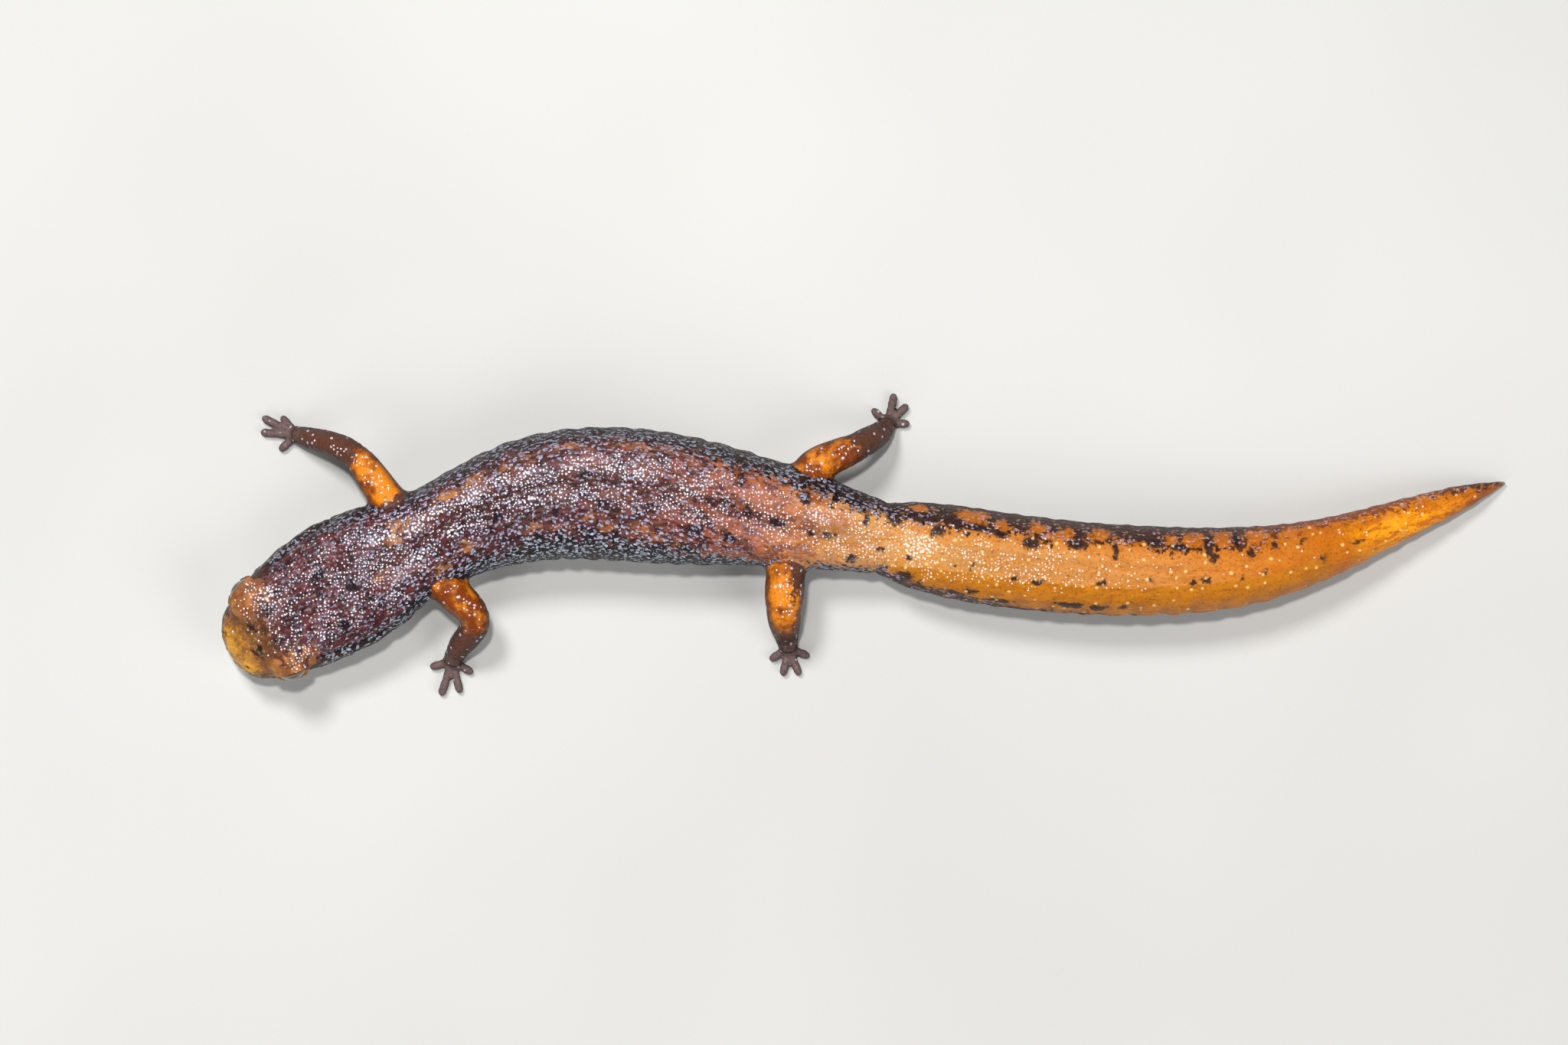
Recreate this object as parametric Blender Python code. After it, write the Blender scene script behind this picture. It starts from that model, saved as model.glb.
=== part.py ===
"""Four-toed salamander, life size, lying still on a flat floor.

Run it with: blender --background --python part.py
The head points to -X, the tail to +X, +Y is the animal's right side and +Z is up. The floor is z = 0.
Tables are in millimetres and degrees, and become metres where a mesh is made.
"""

import math

import bpy
import numpy as np

MM = 0.001
GAP = 0.1  # the thin cut between two neighbouring pieces
LINE_STEPS = 1500  # of the sum that turns directions into places
BODY_SIDES = 28
BODY_STEP = 0.85
SNOUT_RINGS = (0.0, 0.07, 0.2, 0.42, 0.7)  # the closer rings of the blunt snout
SNOUT_END = 1.1
BODY_SQUARENESS = 0.90  # under 1 fills the corners of an elliptical section
LEG_SIDES = 12
LEG_STEP = 0.45
TOE_SIDES = 8
TOE_RINGS = 3

# ---- the line of the body, seen from above -------------------------------------------------
SNOUT = (-29.42, -5.10)
BODY_LENGTH = 61.9
# (distance behind the snout, direction of travel tailwards in degrees from +X)
HEADINGS = (
    (0.0, 33.2), (3.0, 32.5), (6.0, 29.7), (10.5, 26.1), (13.5, 21.6), (16.0, 11.2), (18.5, 0.2),
    (21.5, -6.1), (25.0, -8.7), (30.0, -12.8), (34.0, -11.0), (38.0, -7.7), (42.0, -3.3),
    (45.5, 0.5), (48.5, 6.2), (51.5, 14.0), (55.0, 20.6), (61.9, 18.3),
)
# (distance behind the snout, half width, height of the underside, height of the back)
# An underside below 0 is cut off by the floor and leaves a small flat there.
GIRTH = (
    (0.0, 0.40, 1.45, 1.95),
    (0.18, 1.02, 1.08, 2.42),
    (0.45, 1.45, 0.88, 2.72),
    (0.95, 1.86, 0.72, 2.98),
    (1.6, 2.16, 0.62, 3.15),
    (2.6, 2.52, 0.52, 3.38),
    (4.2, 2.86, 0.42, 3.66),
    (6.4, 3.02, 0.34, 3.88),
    (7.8, 2.92, 0.28, 3.90),
    (9.1, 2.58, 0.16, 3.86),
    (10.3, 2.32, 0.02, 3.95),
    (12.0, 2.42, -0.14, 4.25),
    (15.0, 2.80, -0.20, 4.75),
    (18.0, 3.03, -0.22, 5.05),
    (20.5, 3.09, -0.22, 5.10),
    (23.2, 2.93, -0.22, 4.95),
    (26.6, 2.48, -0.18, 4.45),
    (29.0, 2.16, -0.12, 4.00),
    (31.0, 1.82, -0.04, 3.58),
    (32.1, 1.71, 0.00, 3.40),
    (33.8, 2.02, -0.08, 3.82),
    (36.5, 2.18, -0.12, 4.20),
    (41.0, 2.14, -0.12, 4.25),
    (45.0, 2.04, -0.12, 4.10),
    (48.5, 1.86, -0.12, 3.72),
    (51.8, 1.50, -0.12, 3.10),
    (55.3, 1.07, -0.10, 2.26),
    (58.8, 0.68, -0.06, 1.42),
    (61.0, 0.38, -0.03, 0.84),
    (61.9, 0.24, 0.02, 0.56),
)
TAIL_POINT = 0.12  # how far the tip stands out beyond its last ring
# Where each length of the body ends, from the snout, and its colour.
BODY_PARTS = (
    ("head", 7.4, (0.30, 0.19, 0.19)),
    ("neck", 9.0, (0.29, 0.20, 0.21)),
    ("trunk_front", 14.6, (0.30, 0.20, 0.20)),
    ("trunk_middle", 20.2, (0.29, 0.19, 0.20)),
    ("trunk_rear", 25.8, (0.31, 0.20, 0.19)),
    ("hips", 31.0, (0.45, 0.27, 0.19)),
    ("tail_base", 36.6, (0.62, 0.38, 0.16)),
    ("tail_front", 42.6, (0.66, 0.38, 0.12)),
    ("tail_middle", 48.6, (0.70, 0.37, 0.10)),
    ("tail_rear", 55.0, (0.72, 0.36, 0.08)),
    ("tail_tip", 61.9, (0.68, 0.30, 0.07)),
)

# ---- the head ------------------------------------------------------------------------------
EYE_RADIUS = 0.86
EYE_BEHIND_SNOUT = 2.25
EYE_FROM_MIDLINE = 1.74
EYE_HEIGHT = 2.74
EYE_GAP = 0.06
# A brow covers its eye from above, so it sits higher and nearer the midline.
BROW_RADIUS = 0.98
BROW_LENGTHENING = 1.12
BROW_BEHIND_SNOUT = 2.30
BROW_FROM_MIDLINE = 1.44
BROW_HEIGHT = 2.86
# The side view of the lower jaw: (distance behind the snout, height).
MOUTH_FRONT = (-2.0, 1.66)
MOUTH_CORNER = (5.0, 1.50)
JAW_HEEL = (6.3, -1.0)
JAW_REACH = 6.0
HEAD_COLOUR = (0.30, 0.19, 0.19)
JAW_COLOUR = (0.52, 0.46, 0.42)
EYE_COLOUR = (0.42, 0.20, 0.07)
EYE_ROUGHNESS = 0.1

# ---- the legs ------------------------------------------------------------------------------
# A leg runs through: inside the trunk, where it leaves the skin, elbow or knee, wrist or ankle, sole.
# A toe is (direction in degrees from +X, length from the middle of the sole), the inner toe first.
LEGS = {
    "front_right": {
        "path": ((-21.25, 1.17, 2.40), (-22.30, 2.37, 2.35), (-23.65, 4.09, 2.15),
                 (-25.90, 4.97, 0.85), (-26.55, 5.12, 0.34)),
        "radius": (0.84, 0.80, 0.62, 0.50, 0.40),
        "toes": ((222, 0.90), (176, 1.62), (153, 1.74), (130, 0.95)),
    },
    "front_left": {
        "path": ((-20.55, -0.33, 2.50), (-19.70, -1.58, 2.45), (-18.10, -3.43, 2.25),
                 (-19.03, -4.89, 0.85), (-19.32, -5.41, 0.34)),
        "radius": (0.84, 0.82, 0.67, 0.52, 0.42),
        "toes": ((196, 0.88), (252, 1.62), (284, 1.45), (330, 0.92)),
    },
    "hind_right": {
        "path": ((-3.45, 2.07, 2.40), (-2.80, 3.27, 2.35), (-0.50, 4.53, 2.20),
                 (0.73, 5.32, 0.80), (0.97, 5.62, 0.34)),
        "radius": (0.88, 0.84, 0.67, 0.50, 0.40),
        "toes": ((136, 0.78), (78, 1.36), (44, 1.10), (2, 0.80)),
    },
    "hind_left": {
        "path": ((-3.65, -0.03, 2.45), (-3.77, -1.18, 2.40), (-3.87, -3.03, 2.35),
                 (-3.75, -4.19, 0.85), (-3.65, -4.81, 0.34)),
        "radius": (0.92, 0.90, 0.80, 0.58, 0.42),
        "toes": ((212, 0.82), (258, 1.18), (292, 1.25), (338, 0.84)),
    },
}
RING_CLEARANCE = 0.15  # a leg's ring this near one of its ends is left out
FOOT_BEHIND_WRIST = 0.25  # how far above the wrist or ankle the foot starts
TRUNK_REACH = (7.5, 33.0)  # the stretch of the body that the legs grow from
LEG_PARTS = {"front": ("upper_arm", "forearm", "hand"), "hind": ("thigh", "shank", "foot")}
SOLE_RADII = (0.62, 0.54, 0.38)  # along the foot, across it, up
SOLE_HEIGHT = 0.20
TOE_RADIUS_ROOT = 0.28
TOE_RADIUS_TIP = 0.25
TOE_START = 0.12  # from the middle of the sole
TOE_POINT = 0.125  # how far a toe's tip stands out beyond its last ring
UPPER_LEG_COLOUR = (0.66, 0.26, 0.05)
LOWER_LEG_COLOUR = (0.28, 0.20, 0.17)


def smooth(table, column, at):
    """The table's column at the given first-column values, on a curve with no overshoot."""
    table = np.array(table, float)
    known, values = table[:, 0], table[:, column]
    at = np.clip(np.asarray(at, float), known[0], known[-1])
    steps = np.diff(known)
    slopes = np.diff(values) / steps
    ends = np.concatenate([slopes[:1], slopes[-1:]])
    # The tangent at an inner row is the harmonic mean of the slopes beside it, and 0 at a peak.
    same_way = slopes[:-1] * slopes[1:] > 0
    safe = np.where(same_way, slopes[:-1] + slopes[1:], 1.0)
    inner = np.where(same_way, 2 * slopes[:-1] * slopes[1:] / safe, 0.0)
    tangents = np.concatenate([ends[:1], inner, ends[1:]])
    i = np.clip(np.searchsorted(known, at, side="right") - 1, 0, len(steps) - 1)
    t = (at - known[i]) / steps[i]
    rise = values[i + 1] - values[i]
    bend = tangents[i] * steps[i]
    end_bend = tangents[i + 1] * steps[i]
    square, cube = 3 * rise - 2 * bend - end_bend, bend + end_bend - 2 * rise
    return values[i] + t * bend + t**2 * square + t**3 * cube


def body_line(distance):
    """Points on the body's line (x, y), and its direction in radians, at distances behind the snout."""
    fine = np.linspace(0, BODY_LENGTH, LINE_STEPS)
    angle = np.radians(smooth(HEADINGS, 1, fine))
    place = []
    for start, slope in zip(SNOUT, (np.cos(angle), np.sin(angle))):
        gone = np.cumsum((slope[1:] + slope[:-1]) / 2 * np.diff(fine))
        place.append(start + np.interp(distance, fine, np.concatenate([[0], gone])))
    return *place, np.interp(distance, fine, angle)


def body_point(behind, to_right, height):
    """A point given by its distance behind the snout, its offset to the animal's right, and its height."""
    x, y, angle = (float(v) for v in body_line(behind))
    return np.array([x - math.sin(angle) * to_right, y + math.cos(angle) * to_right, height])


def rounded(angle):
    """Cosine and sine of the angles, drawn out towards a square."""
    c, s = np.cos(angle), np.sin(angle)
    return np.sign(c) * np.abs(c) ** BODY_SQUARENESS, np.sign(s) * np.abs(s) ** BODY_SQUARENESS


def body_rings(distances, swell=0.0):
    """A ring of points round the body at each distance, grown by swell and flattened by the floor."""
    around = np.linspace(0, 2 * np.pi, BODY_SIDES, endpoint=False) - np.pi / 2
    across, up = rounded(around)
    x, y, angle = (v[:, None] for v in body_line(distances))
    half = smooth(GIRTH, 1, distances)[:, None] + swell
    low = smooth(GIRTH, 2, distances)[:, None] - swell
    high = smooth(GIRTH, 3, distances)[:, None] + swell
    offset = half * across
    height = np.maximum((low + high) / 2 + (high - low) / 2 * up, -swell)
    return np.stack([x - np.sin(angle) * offset, y + np.cos(angle) * offset, height], axis=-1)


def tube_rings(path, radii, sides, step):
    """Round rings along a smooth curve through the path's points."""
    path, radii = np.array(path, float), np.array(radii, float)
    chord = np.concatenate([[0], np.cumsum(np.linalg.norm(np.diff(path, axis=0), axis=1))])
    count = max(3, math.ceil(chord[-1] / step) + 1)
    at = np.linspace(0, chord[-1], count)
    tangents = np.gradient(path, chord, axis=0)
    i = np.clip(np.searchsorted(chord, at, side="right") - 1, 0, len(chord) - 2)
    width = (chord[i + 1] - chord[i])[:, None]
    t = (at - chord[i])[:, None] / width
    a, b, ta, tb = path[i], path[i + 1], tangents[i] * width, tangents[i + 1] * width
    line = a + t * ta + t**2 * (3 * (b - a) - 2 * ta - tb) + t**3 * (ta + tb - 2 * (b - a))
    radius = smooth(np.column_stack([chord, radii]), 1, at)
    return rings_on(line, radius, sides), at, chord


def rings_on(line, radius, sides):
    """A ring square to the line at each of its points. The rings don't twist along it."""
    ahead = np.gradient(line, axis=0)
    ahead /= np.linalg.norm(ahead, axis=1)[:, None]
    side = np.cross(ahead[0], (0, 0, 1))
    around = np.linspace(0, 2 * np.pi, sides, endpoint=False)[:, None]
    rings = []
    for point, forward, r in zip(line, ahead, radius):
        side = side - forward * np.dot(side, forward)
        side /= np.linalg.norm(side)
        up = np.cross(side, forward)
        rings.append(point + r * (np.cos(around) * side + np.sin(around) * up))
    return np.array(rings)


def closed_tube(rings, bulge_start=0.0, bulge_end=0.0):
    """A tube over the rings, as points and faces. Each end closes on a point that stands out by its bulge."""
    count, sides = rings.shape[:2]
    points = list(rings.reshape(-1, 3))
    i = np.arange(sides)
    j = (i + 1) % sides
    faces = []
    for k in range(count - 1):
        a, b = k * sides, (k + 1) * sides
        faces += [tuple(f) for f in np.column_stack([a + i, a + j, b + j, b + i])]
    for ring, near, push, turn in ((0, 1, bulge_start, 1), (count - 1, count - 2, bulge_end, -1)):
        middle = rings[ring].mean(axis=0)
        outwards = middle - rings[near].mean(axis=0)
        points.append(middle + outwards / np.linalg.norm(outwards) * push)
        tip = len(points) - 1
        a = ring * sides
        faces += [(int(a + p), tip, int(a + q))[::turn] for p, q in zip(i, j)]
    return facing_out(np.array(points), faces)


def facing_out(points, faces):
    """The same shape with its faces turned outwards."""
    fan = np.array([(face[0], a, b) for face in faces for a, b in zip(face[1:], face[2:])])
    volume = np.linalg.det(points[fan] - points.mean(axis=0)).sum()
    return points, faces if volume > 0 else [face[::-1] for face in faces]


def ball(centre, radii, heading=0.0, sides=16, rows=9):
    """Points and faces of an ellipsoid turned by heading degrees about +Z."""
    lat = np.linspace(-np.pi / 2, np.pi / 2, rows + 2)[1:-1]
    lon = np.linspace(0, 2 * np.pi, sides, endpoint=False)
    ring = np.stack([np.outer(np.cos(lat), np.cos(lon)), np.outer(np.cos(lat), np.sin(lon)),
                     np.outer(np.sin(lat), np.ones(sides))], axis=-1)
    rings = ring * np.array(radii)
    points, faces = closed_tube(rings)
    points[-2:, 2] = (-radii[2], radii[2])
    c, s = math.cos(math.radians(heading)), math.sin(math.radians(heading))
    turn = np.array([[c, -s, 0], [s, c, 0], [0, 0, 1]])
    return points @ turn.T + np.array(centre), faces


def joined(shapes):
    """Several (points, faces) as one."""
    points, faces, start = [], [], 0
    for p, f in shapes:
        points.append(p)
        faces += [tuple(int(v) + start for v in face) for face in f]
        start += len(p)
    return np.concatenate(points), faces


def new_object(name, shape, colour=None, roughness=0.35):
    """A mesh object from (points, faces) in millimetres. Without a colour it is a cutter."""
    points, faces = shape
    mesh = bpy.data.meshes.new(name)
    mesh.from_pydata((points * MM).tolist(), [], [tuple(int(v) for v in face) for face in faces])
    mesh.shade_smooth()
    mesh.set_sharp_from_angle(angle=math.radians(50))
    obj = bpy.data.objects.new(name, mesh)
    bpy.context.scene.collection.objects.link(obj)
    if colour is None:
        obj.hide_render = True
        obj.display_type = "WIRE"
    else:
        obj.data.materials.append(paint(name, colour, roughness))
    return obj


def paint(name, colour, roughness):
    material = bpy.data.materials.new(name)
    material.use_nodes = True
    shader = material.node_tree.nodes["Principled BSDF"]
    shader.inputs["Base Color"].default_value = (*colour, 1.0)
    shader.inputs["Roughness"].default_value = roughness
    shader.inputs["Metallic"].default_value = 0.0
    return material


def cut(obj, cutter, operation="DIFFERENCE", with_itself=False):
    modifier = obj.modifiers.new(cutter.name, "BOOLEAN")
    modifier.operation = operation
    modifier.solver = "EXACT"
    modifier.use_self = with_itself
    modifier.object = cutter


def jaw_block(name, clear):
    """A block that holds the lower jaw, grown by clear: its side view, carried across the head."""
    front, corner, heel = MOUTH_FRONT, MOUTH_CORNER, JAW_HEEL
    outline = ((front[0], front[1] + clear), (corner[0] + clear, corner[1] + clear),
               (heel[0] + clear, heel[1]), (front[0], heel[1]))
    right = [body_point(behind, JAW_REACH, height) for behind, height in outline]
    left = [body_point(behind, -JAW_REACH, height) for behind, height in outline]
    points = np.array(right + left)
    n = len(outline)
    faces = [tuple(range(n)), tuple(range(n, 2 * n))[::-1]]
    faces += [(n + i, n + (i + 1) % n, (i + 1) % n, i) for i in range(n)]
    return new_object(name, facing_out(points, faces))


def ring_places(start, end):
    """Ring distances from start to end, closer together at the blunt snout."""
    count = max(2, math.ceil((end - start) / BODY_STEP) + 1)
    if start > 0:
        return np.linspace(start, end, count)
    return np.concatenate([SNOUT_RINGS, np.linspace(SNOUT_END, end, count)])


def make_head(end):
    """The skull and upper jaw, the lower jaw under it, and the eyes in their sockets."""
    shell = closed_tube(body_rings(ring_places(0.0, end)))
    brow_radii = (BROW_RADIUS * BROW_LENGTHENING, BROW_RADIUS, BROW_RADIUS)
    brows = []
    for side in (1, -1):
        centre = body_point(BROW_BEHIND_SNOUT, side * BROW_FROM_MIDLINE, BROW_HEIGHT)
        brows.append(ball(centre, brow_radii, heading=HEADINGS[0][1], sides=16, rows=9))
    head = new_object("head", joined([shell, *brows]), HEAD_COLOUR)
    jaw = new_object("lower_jaw", shell, JAW_COLOUR)
    cut(head, jaw_block("jaw_space", GAP / 2), with_itself=True)
    cut(jaw, jaw_block("jaw_keep", -GAP / 2), "INTERSECT")
    for side, name in ((1, "right"), (-1, "left")):
        centre = body_point(EYE_BEHIND_SNOUT, side * EYE_FROM_MIDLINE, EYE_HEIGHT)
        cut(head, new_object(f"socket_{name}", ball(centre, [EYE_RADIUS + EYE_GAP] * 3, sides=18, rows=9)))
        eyeball = ball(centre, [EYE_RADIUS] * 3, sides=20, rows=11)
        new_object(f"eye_{name}", eyeball, EYE_COLOUR, EYE_ROUGHNESS)


def make_body():
    start = 0.0
    for name, end, colour in BODY_PARTS:
        near = start + (GAP / 2 if start else 0.0)
        far = end - (GAP / 2 if end < BODY_LENGTH else 0.0)
        if name == "head":
            make_head(far)
        else:
            tip = TAIL_POINT if end == BODY_LENGTH else 0.0
            new_object(name, closed_tube(body_rings(ring_places(near, far)), bulge_end=tip), colour)
        start = end


def foot_shape(leg, stub):
    """The sole, the four toes and the end of the leg, as overlapping closed shapes."""
    sole = np.array([*leg["path"][-1][:2], SOLE_HEIGHT])
    ahead = (leg["toes"][1][0] + leg["toes"][2][0]) / 2
    shapes = [stub, ball(sole, SOLE_RADII, heading=ahead, sides=12, rows=5)]
    for degrees, length in leg["toes"]:
        angle = math.radians(degrees)
        direction = np.array([math.cos(angle), math.sin(angle), 0.0])
        reach = np.linspace(TOE_START, length - TOE_POINT, TOE_RINGS)[:, None]
        radius = np.linspace(TOE_RADIUS_ROOT, TOE_RADIUS_TIP, TOE_RINGS)
        rings = rings_on(sole + direction * reach, radius, TOE_SIDES)
        shapes.append(closed_tube(rings, bulge_end=TOE_POINT))
    return joined(shapes)


def make_leg(name, leg, trunk_space, floor_space):
    """The upper leg, lower leg and foot, parted at the elbow or knee and above the wrist or ankle."""
    rings, at, chord = tube_rings(leg["path"], leg["radius"], LEG_SIDES, LEG_STEP)
    upper, lower, foot = (f"{name}_{part}" for part in LEG_PARTS[name.split("_")[0]])

    def length(start, end):
        between = at[(at > start + RING_CLEARANCE) & (at < end - RING_CLEARANCE)]
        places = np.concatenate([[start], between, [end]])
        flat = rings.reshape(len(at), -1)
        picked = np.stack([np.interp(places, at, flat[:, k]) for k in range(flat.shape[1])], axis=1)
        return closed_tube(picked.reshape(len(places), LEG_SIDES, 3))

    elbow, wrist = chord[2], chord[3] - FOOT_BEHIND_WRIST
    upper_leg = new_object(upper, length(0.0, elbow - GAP / 2), UPPER_LEG_COLOUR)
    cut(upper_leg, trunk_space)
    new_object(lower, length(elbow + GAP / 2, wrist - GAP / 2), LOWER_LEG_COLOUR)
    sole_and_toes = foot_shape(leg, length(wrist + GAP / 2, chord[-1]))
    cut(new_object(foot, sole_and_toes, LOWER_LEG_COLOUR), floor_space, with_itself=True)


def make_floor_space():
    """A block that fills the space under the floor, which the feet are cut with."""
    corners = np.array([(x, y, z) for x in (-40, 40) for y in (-20, 20) for z in (-5, 0)], float)
    faces = [(0, 1, 3, 2), (4, 6, 7, 5), (0, 4, 5, 1), (2, 3, 7, 6), (0, 2, 6, 4), (1, 5, 7, 3)]
    return new_object("floor_space", facing_out(corners, faces))


def make_legs():
    trunk_rings = body_rings(np.arange(*TRUNK_REACH, BODY_STEP), swell=GAP)
    trunk_space = new_object("trunk_space", closed_tube(trunk_rings))
    floor_space = make_floor_space()
    for name, leg in LEGS.items():
        make_leg(name, leg, trunk_space, floor_space)


def main():
    for obj in list(bpy.data.objects):
        bpy.data.objects.remove(obj)
    make_body()
    make_legs()


main()
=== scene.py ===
import math
from functools import partial

import bpy
import numpy as np
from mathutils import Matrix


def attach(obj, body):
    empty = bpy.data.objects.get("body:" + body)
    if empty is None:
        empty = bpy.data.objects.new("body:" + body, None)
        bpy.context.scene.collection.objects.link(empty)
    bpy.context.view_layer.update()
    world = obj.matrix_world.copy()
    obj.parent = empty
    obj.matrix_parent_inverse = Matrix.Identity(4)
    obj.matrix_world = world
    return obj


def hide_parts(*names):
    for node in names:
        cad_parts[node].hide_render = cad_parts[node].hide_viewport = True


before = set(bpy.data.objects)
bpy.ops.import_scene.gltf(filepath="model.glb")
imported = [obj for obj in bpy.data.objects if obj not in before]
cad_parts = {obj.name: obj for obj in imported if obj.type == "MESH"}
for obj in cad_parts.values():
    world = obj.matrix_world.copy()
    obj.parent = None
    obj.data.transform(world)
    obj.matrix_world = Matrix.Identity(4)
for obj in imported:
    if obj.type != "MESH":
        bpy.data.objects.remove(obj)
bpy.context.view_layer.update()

print("stage: frame loaded,", len(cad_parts), "solids")

body = {
    "snout": (-29.42, -5.1),  # the tip of the snout, x and y
    "length": 61.9,
    "fullness": 0.9,  # under 1 fills the corners of the oval section
    "stationStep": 0.15,
    "sides": 120,
    # distance behind the snout, heading tailwards in degrees from +X
    "headings": (
        (0, 33.2), (3, 32.5), (6, 29.7), (10.5, 26.1), (13.5, 21.6), (16, 11.2), (18.5, 0.2), (21.5, -6.1),
        (25, -8.7), (30, -12.8), (34, -11), (38, -7.7), (42, -3.3), (45.5, 0.5), (48.5, 6.2), (51.5, 14),
        (55, 20.6), (61.9, 18.3),
    ),
    # distance behind the snout, half width, height of the underside, height of the back
    "girth": (
        (0, 0.4, 1.45, 1.95), (0.18, 1.02, 1.08, 2.42), (0.45, 1.45, 0.88, 2.72), (0.95, 1.86, 0.72, 2.98),
        (1.6, 2.16, 0.62, 3.15), (2.6, 2.52, 0.52, 3.38), (4.2, 2.86, 0.42, 3.66), (6.4, 3.02, 0.34, 3.88),
        (7.8, 2.92, 0.28, 3.9), (9.1, 2.58, 0.16, 3.86), (10.3, 2.32, 0.02, 3.95), (12, 2.42, -0.14, 4.25),
        (15, 2.8, -0.2, 4.75), (18, 3.03, -0.22, 5.05), (20.5, 3.09, -0.22, 5.1), (23.2, 2.93, -0.22, 4.95),
        (26.6, 2.48, -0.18, 4.45), (29, 2.16, -0.12, 4), (31, 1.82, -0.04, 3.58), (32.1, 1.71, 0, 3.4),
        (33.8, 2.02, -0.08, 3.82), (36.5, 2.18, -0.12, 4.2), (41, 2.14, -0.12, 4.25),
        (45, 2.04, -0.12, 4.1), (48.5, 1.86, -0.12, 3.72), (51.8, 1.5, -0.12, 3.1),
        (55.3, 1.07, -0.1, 2.26), (58.8, 0.68, -0.06, 1.42), (61, 0.38, -0.03, 0.84),
        (61.9, 0.24, 0.02, 0.56),
    ),
    # distance behind the snout, how far the back's middle rolls to the animal's right, degrees
    "roll": (
        (0, 0), (7, 1), (10, 4), (14, 9), (19, 12), (24, 4), (29, -8),
        (33, -5), (40, -2), (61.9, -4),
    ),
}

eyes = {
    "radius": 0.86,
    "place": (2.25, 1.74, 2.74),  # behind the snout, out from the middle, up
    "gaze": (0.92, 0.3, 0.25),  # out to the side, forwards, up
    "lidThickness": 0.13,
    "socketDepth": 0.2,  # how far the skin goes under the ball inside the gap
    "opening": (43, 32),  # half angles of the gap between the lids, along the head and up
    "brow": (2.3, 1.44, 2.86),  # the mound over the eye, placed as the eye is
    "browRadii": (1.0976, 0.98, 0.98),
}

legs = {
    # inside the trunk, where it leaves the skin, elbow or knee, wrist or ankle, sole
    "frontRight": {
        "path": ((-21.25, 1.17, 2.4), (-22.3, 2.37, 2.35), (-23.65, 4.09, 2.15),
                 (-25.9, 4.97, 0.85), (-26.55, 5.12, 0.34)),
        "radius": (0.84, 0.8, 0.62, 0.5, 0.4),
        "toes": ((222, 1.02), (176, 1.62), (153, 1.74), (130, 1.05)),
    },
    "frontLeft": {
        "path": ((-20.55, -0.33, 2.5), (-19.7, -1.58, 2.45), (-18.1, -3.43, 2.25),
                 (-19.03, -4.89, 0.85), (-19.32, -5.41, 0.34)),
        "radius": (0.84, 0.82, 0.67, 0.52, 0.42),
        "toes": ((196, 1), (252, 1.62), (284, 1.45), (330, 1.04)),
    },
    "hindRight": {
        "path": ((-3.45, 2.07, 2.4), (-2.8, 3.27, 2.35), (-0.5, 4.53, 2.2),
                 (0.73, 5.32, 0.8), (0.97, 5.62, 0.34)),
        "radius": (0.88, 0.84, 0.67, 0.5, 0.4),
        "toes": ((136, 0.94), (78, 1.38), (44, 1.22), (2, 0.94)),
    },
    "hindLeft": {
        "path": ((-3.65, -0.03, 2.45), (-3.77, -1.18, 2.4), (-3.87, -3.03, 2.35),
                 (-3.75, -4.19, 0.85), (-3.65, -4.81, 0.34)),
        "radius": (0.92, 0.9, 0.8, 0.58, 0.42),
        "toes": ((212, 0.96), (258, 1.24), (292, 1.28), (338, 0.98)),
    },
}
feet = {
    "soleRadii": (0.52, 0.43, 0.32),  # along the foot, across it, up
    "soleHeight": 0.2,
    "toeRadius": (0.225, 0.18, 0.195),  # root, middle joint, rounded tip
    "toeHeight": 0.2,
    "toeStart": 0.12,  # from the middle of the sole
}

skin = {
    "voxel": 0.141,  # grid of the first closed surface
    "fineHead": 7.2,  # how far behind the snout, and round each sole, the grid is halved
    "fineFoot": 2.1,
    "softenRounds": 10,
    "webRounds": 14,  # how far the limbs melt into the trunk, and the brows into the head
    "browRounds": 60,
    "backGroove": 0.12,
    "ribGroove": 0.055,
    "ribSpacing": 1.12,  # 14 grooves between the limbs
    "ribRange": (12.4, 28),
    "tailGroove": 0.025,
    "throatFold": 0.14,
    "mouthGroove": 0.16,
    "nostril": (0.4, 40, 0.085),  # behind the snout, degrees from the top, width
    "foreheadFill": 0.16,
    "wrinkle": 0.022,
    "tipStart": 59.6,  # where the tail starts to draw in to its tip
    "jointCrease": 0.03,
}


# Cubic pieces: a value plus t times its slope, and t squared and cubed bring in the next ones.
def cubicPieces(known, values, slopes, at):
    i = np.clip(np.searchsorted(known, at, "right") - 1, 0, len(known) - 2)
    width = known[i + 1] - known[i]
    t = (at - known[i]) / width
    if values.ndim > 1:
        t, width = t[:, None], width[:, None]
    gain, bend, endBend = values[i + 1] - values[i], slopes[i] * width, slopes[i + 1] * width
    return values[i] + t * bend + t**2 * (3 * gain - 2 * bend - endBend) + t**3 * (bend + endBend - 2 * gain)


# A table's column at any place. Slopes are the harmonic mean of the steps on both sides, so the
# curve never overshoots a row.
def columnAt(table, column, at):
    rows = np.array(table, float)
    known, values = rows[:, 0], rows[:, column]
    steps = np.diff(values) / np.diff(known)
    before, after = steps[:-1], steps[1:]
    sameWay = before * after > 0
    inner = np.where(sameWay, 2 * before * after / np.where(sameWay, before + after, 1.0), 0.0)
    slopes = np.concatenate([steps[:1], inner, steps[-1:]])
    return cubicPieces(known, values, slopes, np.clip(np.asarray(at, float), known[0], known[-1]))


# The body's section at a place: half width, height of the underside, height of the back.
def girthAt(along):
    return [columnAt(body["girth"], column, along) for column in (1, 2, 3)]


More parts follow.
